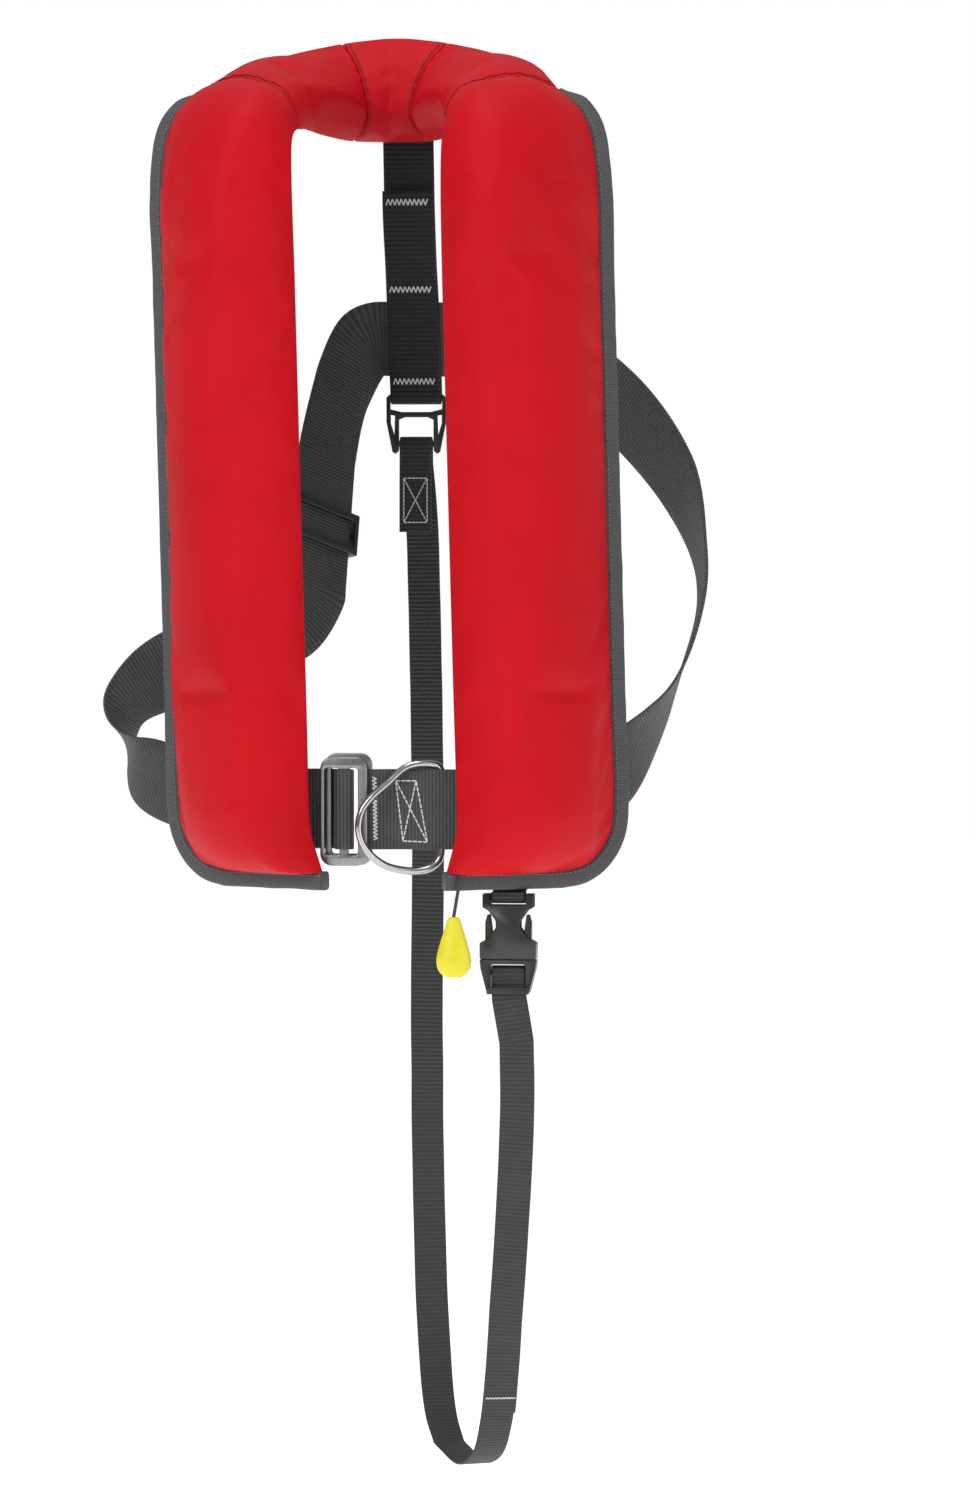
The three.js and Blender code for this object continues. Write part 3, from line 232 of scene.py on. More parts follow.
def backing_cloth(name, colour):
    """Knitted spacer cloth on the body side: matt and dark with rows of small open cells 3 mm apart."""
    material, tree = blank(name, 0.85, sockets={"Sheen Weight": 0.2})
    cells = node(tree, "ShaderNodeTexVoronoi", {"Vector": coords(tree), "Scale": 330.0, "Randomness": 0.15})
    depth = calc(tree, "MINIMUM", calc(tree, "MULTIPLY", cells.outputs[0], 2.2), 1.0)
    # The open cells are painted darker towards their middles, by the same depth that the bump sinks: painted
    # shade in the cell hollows.
    wired(tree, shaded(tree, depth, colour, 0.55, 1.25), bumps=((depth, 0.5, 0.0007),))
    return material


def stainless(name, roughness, grain, dark="#7E7F80", light="#A8A9AA"):
    """Stainless steel rubbed along one direction: fine streaks that pull the highlight out sideways."""
    material, tree = blank(name, roughness, 1.0)
    stretched = node(tree, "ShaderNodeMapping", {"Vector": coords(tree), "Scale": (1.0, 1.0, 0.06)})
    streaks = speckle(tree, 1500.0, 2.0, stretched.outputs[0])
    wired(tree, shade(tree, streaks, dark, light), (streaks, roughness * 0.75, roughness * 1.35),
          ((streaks, grain, 0.00001),))
    return material


def moulded(name, colour, roughness, grain_mm, relief, sockets=None, dome=None):
    """Injection-moulded plastic: an even colour, the mould's fine grain, and smoother handled places.

    dome (middle x, middle z, half size, height) crowns a flat face, so that a soft highlight gathers on it.
    """
    material, tree = blank(name, roughness, sockets=sockets)
    handled = speckle(tree, 70.0, 3.0)
    bumps = [(speckle(tree, 1000 / grain_mm, 2.0), relief, 0.0001)]
    if dome:
        split = node(tree, "ShaderNodeSeparateXYZ", {0: coords(tree)})
        crown = 1.0
        for axis, middle in ((0, dome[0]), (2, dome[1])):
            away = calc(tree, "SUBTRACT", split.outputs[axis], middle * MM)
            away = calc(tree, "DIVIDE", away, dome[2] * MM)
            crown = calc(tree, "SUBTRACT", crown, calc(tree, "MULTIPLY", away, away))
        bumps.append((crown, 1.0, dome[3] * MM))
    rough = (handled, roughness * 0.8, roughness * 1.2)
    wired(tree, shaded(tree, handled, colour, 0.93, 1.06), rough, bumps)
    return material


def twisted_thread(name, colour):
    """Twisted polyester thread: bright, with a soft sheen and slightly shaded turns."""
    material, tree = blank(name, 0.6, sockets={"Sheen Weight": 0.05})
    wired(tree, shaded(tree, speckle(tree, 1600.0, 1.0), colour, 0.78, 1.06))
    return material


MATERIALS = {}


def make_materials(colours):
    """One material for each finish of the jacket."""
    MATERIALS.update(
        cover=coated_nylon("coated_nylon_red", colours.cover),
        tape=ribbed_webbing("grosgrain_tape", colours.tape, 1.5, 1.2, 0.16),
        belt=ribbed_webbing("polyester_harness_webbing", colours.webbing, 2.1, 1.6, 0.68),
        strap=ribbed_webbing("polyester_strap_webbing", tint(colours.webbing, 0.78), 2.6, 1.6, 0.42),
        back_strap=ribbed_webbing("polyester_back_webbing", colours.back_strap, 2.9, 1.4, 0.6),
        backing=backing_cloth("knitted_spacer_cloth", "#2E2F33"),
        brushed=stainless("stainless_brushed", 0.3, 0.3),
        polished=stainless("stainless_polished", 0.13, 0.12, "#A2A3A4", "#C4C5C6"),
        acetal=moulded("acetal_black_moulded", "#2B2C2E", 0.33, 0.6, 0.12),
        domed_acetal=moulded("acetal_black_domed", "#303133", 0.3, 0.6, 0.1,
                             dome=(BUCKLE_X, HEM_Z - 28, 16, 2.4)),
        handle=moulded("polypropylene_yellow_moulded", colours.handle, 0.38, 0.8, 0.08,
                       {"Subsurface Weight": 0.08, "Subsurface Scale": 0.004}),
        nylon_grey=moulded("glass_filled_nylon_grey", "#8B8F93", 0.5, 0.5, 0.2),
        rubber=moulded("moulded_rubber_black", "#202122", 0.75, 0.7, 0.2),
        bladder=coated_nylon("coated_nylon_bladder", "#E3C62C"),
        zinc=stainless("zinc_plated_steel", 0.38, 0.2),
        thread=twisted_thread("polyester_thread_white", colours.thread),
        seam_thread=twisted_thread("polyester_thread_red", "#7E0A14"),
        tape_thread=twisted_thread("polyester_thread_grey", "#84868B"),
        cord=twisted_thread("braided_cord_charcoal", "#3A3B3D"),
    )


# ---- Shapes ----
WELD = 2e-6  # points closer than this, in metres, are one
FLAT_STEPS, BEND_STEPS = 8, 4  # facets across a band's face and around its selvage
CORNER_FACETS = 7
SHARP = 35  # edges sharper than this, in degrees, are rounded


def spline(points, closed=False):
    """A centripetal Catmull-Rom curve through points, as a function from 0 to 1."""
    points = [Vector(p) for p in points]
    count = len(points)

    def at(t):
        place = (count if closed else count - 1) * t
        k = math.floor(place)
        w = place - k
        if not closed and k >= count - 1:
            k, w = count - 2, 1.0
        before = points[k - 1] if closed or k > 0 else points[0] * 2 - points[1]
        a, b = points[k % count], points[(k + 1) % count]
        after = points[(k + 2) % count] if closed or k + 2 < count else points[-1] * 2 - points[-2]
        gaps = [max((q - p).length_squared ** 0.25, 1e-4) for p, q in ((before, a), (a, b), (b, after))]
        out = ((a - before) / gaps[0] - (b - before) / (gaps[0] + gaps[1]) + (b - a) / gaps[1]) * gaps[1]
        into = ((b - a) / gaps[1] - (after - a) / (gaps[1] + gaps[2]) + (after - b) / gaps[2]) * gaps[1]
        return a + out * w + (b * 3 - a * 3 - out * 2 - into) * w * w + (a * 2 - b * 2 + out + into) * w ** 3

    return at


def traced(line, count):
    """Points along a curve from its start to its end."""
    return [line(k / count) for k in range(count + 1)]


def around(count):
    """Evenly spaced angles, once round."""
    return [math.tau * k / count for k in range(count)]


def lengths(points):
    """Distance along a line of points."""
    total = [0.0]
    for p, q in zip(points, points[1:]):
        total.append(total[-1] + (q - p).length)
    return total


def heading(path, k):
    """The path's direction at a point."""
    return (path[min(k + 1, len(path) - 1)] - path[max(k - 1, 0)]).normalized()


def spaced(points, others, step):
    """The same line with its points evenly spaced, and what goes with each point."""
    total = lengths(points)
    count = max(2, round(total[-1] / step))
    made, k = ([], []), 0
    for n in range(count + 1):
        want = total[-1] * n / count
        while k < len(total) - 2 and total[k + 1] < want:
            k += 1
        share = (want - total[k]) / max(total[k + 1] - total[k], 1e-9)
        made[0].append(points[k].lerp(points[k + 1], share))
        made[1].append(others[k].lerp(others[k + 1], share))
    return made


def placed(name, data):
    """A new object in the scene."""
    made = bpy.data.objects.new(name, data)
    bpy.context.scene.collection.objects.link(made)
    return made


def plain_mesh(holder):
    """What an object's modifiers make of it, as a mesh of its own."""
    shown = holder.evaluated_get(bpy.context.evaluated_depsgraph_get())
    return bpy.data.meshes.new_from_object(shown)


@contextlib.contextmanager
def edited(mesh):
    """A mesh opened for editing, and written back afterwards."""
    work = bmesh.new()
    work.from_mesh(mesh)
    yield work
    work.to_mesh(mesh)
    work.free()


def finished(name, mesh, material, subdivide=0):
    """Puts a mesh in the scene with its faces outwards, smooth, and with its finish."""
    with edited(mesh) as work:
        bmesh.ops.recalc_face_normals(work, faces=work.faces)
        if work.calc_volume(signed=True) < 0:
            bmesh.ops.reverse_faces(work, faces=work.faces)
        for face in work.faces:
            face.smooth = True
    mesh.materials.clear()
    mesh.materials.append(MATERIALS[material])
    made = placed(name, mesh)
    if subdivide:
        smooth = made.modifiers.new("Subdivision", "SUBSURF")
        smooth.levels = smooth.render_levels = subdivide
    return made


def surface(name, rings, uvs, material, loop=False, subdivide=0):
    """A closed mesh through rings of points in millimetres, capped at its ends or joined into a loop."""
    size = len(rings[0])
    mesh = bpy.data.meshes.new(name)
    faces = []
    for r in range(len(rings) if loop else len(rings) - 1):
        a, b = r * size, ((r + 1) % len(rings)) * size
        for k in range(size):
            n = (k + 1) % size
            faces.append((a + k, a + n, b + n, b + k))
    points = [p * MM for ring in rings for p in ring]
    places = [uv for ring in uvs for uv in ring]
    if not loop:
        for ring, start, flip in ((rings[0], 0, True), (rings[-1], (len(rings) - 1) * size, False)):
            points.append(sum(ring, Vector()) / size * MM)
            places.append(places[start])
            for k in range(size):
                pair = (start + k, start + (k + 1) % size)
                faces.append((len(points) - 1, *(pair[::-1] if flip else pair)))
    mesh.from_pydata(points, [], faces)
    layer = mesh.uv_layers.new(name="UVMap")
    for corner in mesh.loops:
        layer.data[corner.index].uv = places[corner.vertex_index]
    return finished(name, mesh, material, subdivide)


def section(width, thick):
    """A band's cross-section with round selvages, as pairs along its width and its thickness."""
    r = thick / 2
    half = width / 2 - r
    pairs = []
    for side in (1, -1):
        pairs += [(side * (-half + 2 * half * k / FLAT_STEPS), side * r) for k in range(FLAT_STEPS)]
        for a in (math.pi * k / BEND_STEPS for k in range(BEND_STEPS)):
            pairs.append((side * (half + r * math.sin(a)), side * r * math.cos(a)))
    return pairs


def webbing(name, path, across, width, thick, material, step=3.0, wave=0.0):
    """A length of webbing along a path; wave lets its edges wander a little."""
    path, across = spaced(path, across, step)
    pairs = section(width, thick)
    rings, uvs = [], []
    for k, (p, side, run) in enumerate(zip(path, across, lengths(path))):
        along = heading(path, k)
        w = (side - along * side.dot(along)).normalized()
        n = w.cross(along).normalized()
        drift = wave * noise.noise(Vector((run / 34, width, 0.3)))
        rings.append([p + w * (a + drift) + n * b for a, b in pairs])
        uvs.append([(a, run) for a, b in pairs])
    return surface(name, rings, uvs, material)


def sampled(rows, steps):
    """A smoothed route of rows x, y, z, across, as points and directions."""
    return traced(spline([row[:3] for row in rows]), steps), traced(spline([row[3] for row in rows]), steps)


def arc(c1, c2, r1, r2, start, end, steps):
    """Points on part of an ellipse, as pairs."""
    turns = [math.radians(start + (end - start) * k / steps) for k in range(steps + 1)]
    return [(c1 + r1 * math.cos(a), c2 + r2 * math.sin(a)) for a in turns]


def rounded(cx, cz, width, height, r):
    """A rectangle with round corners, as an outline."""
    w, h = width / 2 - r, height / 2 - r
    made = []
    for x, z, a in ((w, h, 0), (-w, h, 90), (-w, -h, 180), (w, -h, 270)):
        made += arc(cx + x, cz + z, r, r, a, a + 90, CORNER_FACETS)
    return made


def plate(name, outline, holes, thick, edge, y, material):
    """A flat piece in the XZ plane with holes and rounded edges, centred on a depth."""
    curve = bpy.data.curves.new(name, "CURVE")
    curve.dimensions = "2D"
    curve.fill_mode = "BOTH"
    curve.extrude = (thick / 2 - edge) * MM
    curve.bevel_depth = edge * MM
    curve.bevel_resolution = 2
    curve.offset = -edge * MM
    for line in (outline, *(hole[::-1] for hole in holes)):
        run = curve.splines.new("POLY")
        run.points.add(len(line) - 1)
        for point, (x, z) in zip(run.points, line):
            point.co = (x * MM, z * MM, 0, 1)
        run.use_cyclic_u = True
    holder = placed(name, curve)
    mesh = plain_mesh(holder)
    bpy.data.objects.remove(holder)
    mesh.transform(Matrix.Translation((0, y * MM, 0)) @ Matrix.Rotation(math.pi / 2, 4, "X"))
    with edited(mesh) as work:
        bmesh.ops.remove_doubles(work, verts=work.verts, dist=WELD)
    return finished(name, mesh, material)


def stands_for(made, *sources):
    """The piece rides on the body of the solids that it replaces."""
    bodies = frame["record"]["behaviour"]["bodies"]
    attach(made, next(body for body, names in bodies.items() if sources[0] in names))
    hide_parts(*sources)


def softened(name, source, material, edge, clearance=0.0):
    """A copy of a solid with its edges rounded as a mould leaves them, and smaller by a clearance."""
    mesh = frame["nodes"][source].data.copy()
    with edited(mesh) as work:
        bmesh.ops.remove_doubles(work, verts=work.verts, dist=WELD)
        bmesh.ops.dissolve_limit(work, angle_limit=math.radians(1), verts=work.verts, edges=work.edges)
    made = finished(name, mesh, material)
    bevel = made.modifiers.new("Edges", "BEVEL")
    bevel.width = edge * MM
    bevel.segments = 3
    bevel.limit_method = "ANGLE"
    bevel.angle_limit = math.radians(SHARP)
    bevel.harden_normals = True
    made.data = plain_mesh(made)
    made.modifiers.clear()
    for vertex, normal in zip(made.data.vertices, [n.vector.copy() for n in made.data.vertex_normals]):
        vertex.co -= normal * clearance * MM
    stands_for(made, source)


# ---- Sewing: every edge of a guide mesh becomes one stitch ----
def sewing_tree():
    """A node tree that turns each edge of a mesh into a short length of thread, sunk at both ends."""
    tree = bpy.data.node_groups.new("sewn_thread", "GeometryNodeTree")
    for name, kind, way in (("Guide", "Geometry", "INPUT"), ("Thread radius", "Float", "INPUT"),
                            ("Stitch share", "Float", "INPUT"), ("Finish", "Material", "INPUT"),
                            ("Thread", "Geometry", "OUTPUT")):
        tree.interface.new_socket(name, in_out=way, socket_type="NodeSocket" + kind)
    given = node(tree, "NodeGroupInput").outputs
    apart = node(tree, "GeometryNodeSplitEdges", {"Mesh": given["Guide"]})
    short = node(tree, "GeometryNodeScaleElements",
                 {"Geometry": apart.outputs[0], "Scale": given["Stitch share"]}, domain="EDGE")
    runs = node(tree, "GeometryNodeMeshToCurve", {"Mesh": short.outputs[0]})
    strand = node(tree, "GeometryNodeCurvePrimitiveCircle",
                  {"Resolution": 6, "Radius": given["Thread radius"]})
    tube = node(tree, "GeometryNodeCurveToMesh",
                {"Curve": runs.outputs[0], "Profile Curve": strand.outputs[0], "Fill Caps": True})
    smooth = node(tree, "GeometryNodeSetShadeSmooth", {0: tube.outputs[0]})
    real = node(tree, "GeometryNodeRealizeInstances", {"Geometry": smooth.outputs[0]})
    dyed = node(tree, "GeometryNodeSetMaterial", {"Geometry": real.outputs[0], "Material": given["Finish"]})
    node(tree, "NodeGroupOutput", {"Thread": dyed.outputs[0]})
    return tree


def sewn(name, lines, material, body, share=0.84, radius=None):
    """Stitches along lines of needle holes in millimetres; each stretch between two holes is a stitch."""
    mesh = bpy.data.meshes.new(name)
    points, edges = [], []
    for line in lines:
        edges += [(len(points) + k, len(points) + k + 1) for k in range(len(line) - 1)]
        points += [p * MM for p in line]
    mesh.from_pydata(points, edges, [])
    made = placed(name, mesh)
    tree = bpy.data.node_groups.get("sewn_thread") or sewing_tree()
    sewing = made.modifiers.new("Sewing", "NODES")
    sewing.node_group = tree
    values = {"Thread radius": radius or bpy.context.scene.life_jacket_sizes.thread, "Stitch share": share,
              "Finish": MATERIALS[material]}
    for item in tree.interface.items_tree:
        if item.name in values:
            sewing[item.identifier] = values[item.name]
    real = plain_mesh(made)
    made.modifiers.clear()
    made.data = real
    real.materials.clear()
    real.materials.append(MATERIALS[material])
    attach(made, body)


def even(line, step):
    """The line's points, one stitch apart."""
    return spaced(line, line, step)[0]


def crossed_box(a, b, c, d, step):
    """Needle holes of a box with its two diagonals."""
    return [even(pair, step) for pair in ([a, b], [b, c], [c, d], [d, a], [a, c], [b, d])]


def zigzag(start, end, half, side, count):
    """Needle holes of a zigzag between two points, half as wide as asked each way along side."""
    return [start.lerp(end, k / count) + side * (half if k % 2 else -half) for k in range(count + 1)]


# ---- The horseshoe of the cover ----
INNER_TURN = 8  # the cover cloth is turned in round the inner edge by this much
CORNER_STEPS = 4
LOBE_LEVELS = (0.25, 0.45, 0.64, 0.82)
# Shares of the way from chest to nape: inner x, y, z, outer x, y, z; and the height of the crown.
SHOULDER = (
    (1.01, 0.01, -0.48, 1.0, 0.0, -0.45, LOBE_DEPTH),
    (1.02, 0.07, -0.1, 0.956, 0.06, 0.13, LOBE_DEPTH * 0.8),
    (1.02, 0.225, 0.03, 0.832, 0.2, 0.44, SHOULDER_DEPTH * 0.72),
    (1.0, 0.48, 0.05, 0.672, 0.45, 0.63, SHOULDER_DEPTH * 0.74),
    (0.88, 0.746, 0.03, 0.482, 0.7, 0.79, SHOULDER_DEPTH * 0.3 + NAPE_DEPTH * 0.7),
    (0.56, 0.93, 0.0, 0.248, 0.9, 0.937, NAPE_DEPTH),
    (0.0, 1.0, 0.0, 0.0, 1.0, 1.0, NAPE_DEPTH),
)
LOWER = CORNER_STEPS + 1 + len(LOBE_LEVELS)
SEAM_SHOULDER, SEAM_NAPE = LOWER + 2, LOWER + 5
LAST = 2 * (LOWER + len(SHOULDER) - 1)
SEAMS = (SEAM_SHOULDER, SEAM_NAPE, LAST - SEAM_NAPE, LAST - SEAM_SHOULDER)
COVERS = (("right_front_cover", 0, SEAMS[0]), ("right_shoulder_cover", SEAMS[0], SEAMS[1]),
          ("nape_cover", SEAMS[1], SEAMS[2]), ("left_shoulder_cover", SEAMS[2], SEAMS[3]),
          ("left_front_cover", SEAMS[3], LAST))
BACK_PANELS = (("right_back_panel", 0, SEAMS[0]), ("collar_back_panel", SEAMS[0], SEAMS[3]),
               ("left_back_panel", SEAMS[3], LAST))
TINY = 1e-6  # two stations this close are one


def mix(a, b, f):
    """The value a share f of the way from a to b."""
    return a + (b - a) * f


def ease(f):
    """A share from 0 to 1 that starts and ends gently."""
    f = min(1.0, max(0.0, f))
    return f * f * (3 - 2 * f)


def sway(z):
    """Sideways lean of the lobes at a height."""
    return -SWAY * (z + SWAY_PIVOT)


def inner_x(z):
    """Half the neck opening at a height, which flares at the hem."""
    return NECK_HALF * (1 - FLARE * (1 - ease((z - HEM_Z) / FLARE_RISE)))


def crown_at(z):
    """Height of the padding near the hem."""
    f = min(1.0, max(0.0, (z - HEM_Z - BINDING) / HEM_RISE))
    return mix(HEM_DEPTH, LOBE_DEPTH, math.sqrt(1 - (1 - f) ** 2))


def horseshoe(inset, tuck=0.0):
    """The cover's inner and outer edges, face direction, crown and sway, by station from hem to hem."""
    half, r = [], CORNER_R - inset
    for k in range(CORNER_STEPS + 1):
        a = math.pi / 2 * k / CORNER_STEPS
        z = HEM_Z + inset + r * (1 - math.cos(a))
        half.append((Vector((inner_x(z), CHEST_Y, z)),
                     Vector((CHEST_HALF, SIDE_Y, z)) - ACROSS * r * (1 - math.sin(a)), crown_at(z)))
    for level in LOBE_LEVELS:
        z = HEM_Z * (1 - level)
        half.append((Vector((inner_x(z), CHEST_Y, z)), Vector((CHEST_HALF, SIDE_Y, z)), LOBE_DEPTH))
    for a, b, c, d, e, f, crown in SHOULDER:
        half.append((Vector((NECK_HALF * a, mix(CHEST_Y, NAPE_Y, b), COLLAR_HEIGHT * c)),
                     Vector((CHEST_HALF * d, mix(SIDE_Y, NAPE_Y + NAPE_LEAN, e), COLLAR_HEIGHT * f)), crown))
    flip = Vector((-1, 1, 1))
    rows = half + [(i * flip, o * flip, crown) for i, o, crown in reversed(half[:-1])]
    moved = []
    for k, (i, o, crown) in enumerate(rows):
        d = (o - i).normalized()
        bound = k <= SEAM_SHOULDER or k >= LAST - SEAM_SHOULDER
        moved.append((i + d * tuck, o + d * (-inset if bound else -tuck), crown))
    inner, outer = spline([row[0] for row in moved]), spline([row[1] for row in moved])

    def at(s):
        t = min(1.0, s / LAST)
        i, o = inner(t), outer(t)
        a, b = max(0.0, t - 1e-4), min(1.0, t + 1e-4)
        along = ((inner(b) - inner(a)).normalized() + (outer(b) - outer(a)).normalized()).normalized()
        k = min(math.floor(s), LAST - 1)
        crown = mix(moved[k][2], moved[k + 1][2], s - k)
        return i, o, (o - i).cross(along).normalized(), crown, Vector((sway((i.z + o.z) / 2), 0, 0))

    return at


def rise(v, crown, edge):
    """Height of the padded face at a share v of the way from the inner to the outer edge."""
    if v < ROUND_SHARE:
        return crown * math.sqrt(max(0.0, 1 - (1 - v / ROUND_SHARE) ** 2))
    return mix(crown, edge, ((v - ROUND_SHARE) / (1 - ROUND_SHARE)) ** SLOPE_POWER)


def stations(shoe, start, end, step):
    """Stations about a step apart, in millimetres, with one on every whole number."""
    made = [start]
    k = start
    while k < end - TINY:
        upto = min(end, math.floor(k) + 1)
        a, b = shoe(k), shoe(upto)
        run = ((b[0] + b[1]) - (a[0] + a[1])).length / 2
        count = max(1, round(run / step))
        made += [mix(k, upto, n / count) for n in range(1, count + 1)]
        k = upto
    return made


ROUND_SHARE, SLOPE_POWER = 0.24, 2.3  # the face is round near the neck, then slopes to the outer edge
ROUND_ROWS, SLOPE_ROWS, BACK_ROWS = 10, 18, 9
FACE = [ROUND_SHARE * (1 - math.cos(math.pi / 2 * k / ROUND_ROWS)) for k in range(ROUND_ROWS)] + [
    mix(ROUND_SHARE, 1.0, k / SLOPE_ROWS) for k in range(SLOPE_ROWS + 1)]
BACK = [1 - k / (BACK_ROWS - 1) for k in range(BACK_ROWS)]
COVER_STEP, PANEL_STEP = 5.0, 6.0
FILL = 0.95  # height before the cloth swells, as a share of the crown
PINCH, PINCH_RUN = 0.085, 9  # how much a seam pulls the face in, and over which distance
PUCKER, PUCKER_RUN, PUCKER_PITCH = 0.8, 8, 7.5
CREASED = (0.02, 0.97)  # shares of the face that crease
LONG_FOLD, CROSS_FOLD = 1.1, 0.8
LEAST_RISE = 0.4
SMOOTH_EDGE = 0.2  # creases grow over this share of the face from the inner edge


def seam_distance(shoe, s, i, o):
    """Distance in millimetres from a station to the nearest seam."""
    near = []
    for seam in SEAMS:
        a, b = shoe(seam)[:2]
        near.append((a + b - i - o).length / 2 if abs(s - seam) > TINY else 0.0)
    return min(near)


def cover_shape(sizes):
    """Rings of the whole padded cover, swollen as cloth between its seams, by station."""
    shoe = horseshoe(BINDING + GAP)
    steps = stations(shoe, 0, LAST, COVER_STEP)
    rings, gaps = [], []
    for s in steps:
        i, o, n, crown, x = shoe(s)
        gaps.append(seam_distance(shoe, s, i, o))
        crown *= FILL * (1 - PINCH * math.exp(-(gaps[-1] / PINCH_RUN) ** 2))
        ring = [i.lerp(o, v) + n * max(rise(v, crown, EDGE_DEPTH), LEAST_RISE) + x for v in FACE]
        rings.append(ring + [i.lerp(o, v) + x for v in BACK])
    swollen = swell(rings, steps, sizes)
    for s, ring, gap in zip(steps, swollen, gaps):
        n = shoe(s)[2]
        for k, v in enumerate(FACE):
            if CREASED[0] < v < CREASED[1]:
                p = ring[k]
                long_fold = noise.noise(Vector((p.x / 24, p.y / 24, p.z / 170)) + Vector((3.1, 0, 7.7)))
                cross_fold = noise.noise(Vector(((p.x + p.z * 0.35) / 34, p.y / 40, (p.z - p.x) / 90)))
                wave = math.sin(v * LOBE_SPAN / PUCKER_PITCH * math.pi)
                pucker = wave * math.exp(-gap / PUCKER_RUN) * PUCKER
                depth = sizes.crease / MM * (LONG_FOLD * long_fold + CROSS_FOLD * cross_fold) + pucker
                ring[k] = p + n * depth * math.sin(math.pi * min(1.0, v / SMOOTH_EDGE) / 2)
    return steps, swollen


CLOTH_FRAMES = 20
CLOTH = {"vertex_group_mass": "sewn", "quality": 5, "mass": 0.25, "tension_stiffness": 12,
         "compression_stiffness": 12, "shear_stiffness": 4, "bending_stiffness": 0.4, "shrink_min": -0.012,
         "use_pressure": True, "uniform_pressure_force": 1.4}


def swell(rings, steps, sizes):
    """Lets the cover's face swell as cloth held at its edges and seams, and returns the new rings."""
    guide = surface("cover_guide", rings, [[(0, 0)] * len(ring) for ring in rings], "cover")
    size = len(rings[0])
    held = guide.vertex_groups.new(name="sewn")
    for r, s in enumerate(steps):
        at_seam = r in (0, len(steps) - 1) or any(abs(s - seam) < TINY for seam in SEAMS)
        for k in range(size):
            if at_seam or k == 0 or k >= len(FACE) - 1:
                held.add([r * size + k], 1.0, "REPLACE")
    held.add([len(rings) * size, len(rings) * size + 1], 1.0, "REPLACE")
    cloth = guide.modifiers.new("Cloth", "CLOTH")
    for setting, value in CLOTH.items():
        setattr(cloth.settings, setting, value)
    cloth.settings.effector_weights.gravity = 0
    cloth.collision_settings.use_collision = False
    cloth.point_cache.frame_start, cloth.point_cache.frame_end = 1, CLOTH_FRAMES
    for moment in range(1, CLOTH_FRAMES + 1):
        bpy.context.scene.frame_set(moment)
    moved = plain_mesh(guide)
    made = []
    for r, ring in enumerate(rings):
        made.append([])
        for k, p in enumerate(ring):
            shift = moved.vertices[r * size + k].co - p * MM
            if shift.length > sizes.puff:
                shift = shift.normalized() * sizes.puff
            made[-1].append(p + shift / MM)
    bpy.context.scene.frame_set(1)
    bpy.data.objects.remove(guide)
    return made


# ---- Operators ----
AZIMUTH, ELEVATION, DISTANCE = math.radians(7), math.radians(2), 4.0
TARGET = Vector((0.0542, 0.0067, -0.366))
SENSOR, VIEW_HEIGHT = 36, 0.9
LAMPS = (("key", (-1.5, -2.6, 1.3), 1.5, 31), ("fill", (2.3, -2.0, 0.1), 1.6, 14),
         ("top", (0.0, -0.5, 2.2), 1.2, 22))
LAMP_AIM = Vector((0, 0, -0.3))
FLOOR_HALF, FLOOR_Z, PAPER_GLOW = 9, -0.86, 0.6


class LIFEJACKET_OT_stage(bpy.types.Operator):
    """Adds the camera, the pale floor and the soft studio lights"""

    bl_idname = "life_jacket.stage"
    bl_label = "Stage"

    def execute(self, context):
        scene = context.scene
        scene.view_settings.view_transform = "Standard"
        back = Vector((math.sin(AZIMUTH) * math.cos(ELEVATION), -math.cos(AZIMUTH) * math.cos(ELEVATION),
                       math.sin(ELEVATION)))
        camera = placed("camera", bpy.data.cameras.new("camera"))
        camera.location = TARGET + back * DISTANCE
        camera.rotation_euler = back.to_track_quat("Z", "Y").to_euler()
        camera.data.lens = SENSOR * DISTANCE / VIEW_HEIGHT
        camera.data.clip_end = 50
        scene.camera = camera

        # The world's light is graded from below to above; the camera sees plain white behind the jacket.
        world = bpy.data.worlds.new("studio")
        world.use_nodes = True
        tree = world.node_tree
        height = node(tree, "ShaderNodeSeparateXYZ", {0: coords(tree, "Generated")}).outputs[2]
        fade = node(tree, "ShaderNodeMapRange", {0: height, 1: -0.2, 2: 0.75})
        light = tree.nodes["Background"]
        tree.links.new(shade(tree, fade.outputs[0], "#626264", "#F4F4F2"), light.inputs[0])
        light.inputs[1].default_value = 0.6
        behind = node(tree, "ShaderNodeBackground", {0: (1, 1, 1, 1), 1: 1.0})
        ray = node(tree, "ShaderNodeLightPath").outputs["Is Camera Ray"]
        seen = node(tree, "ShaderNodeMixShader", {0: ray, 1: light.outputs[0], 2: behind.outputs[0]})
        tree.links.new(seen.outputs[0], tree.nodes["World Output"].inputs[0])
        scene.world = world
        for name, place, size, power in LAMPS:
            lamp = bpy.data.lights.new(name, "AREA")
            lamp.size, lamp.energy = size, power
            holder = placed(name, lamp)
            holder.location = place
            holder.rotation_euler = (Vector(place) - LAMP_AIM).to_track_quat("Z", "Y").to_euler()

        mesh = bpy.data.meshes.new("studio_floor")
        corners = [(x * FLOOR_HALF, y * FLOOR_HALF, FLOOR_Z) for x, y in ((-1, -1), (1, -1), (1, 1), (-1, 1))]
        mesh.from_pydata(corners, [], [(0, 1, 2, 3)])
        paper = {"Base Color": linear("#F7F7F7"), "Emission Color": linear("#FFFFFF")}
        paper["Emission Strength"] = PAPER_GLOW
        mesh.materials.append(blank("studio_paper", 0.9, sockets=paper)[0])
        placed("studio_floor", mesh)
        return {"FINISHED"}


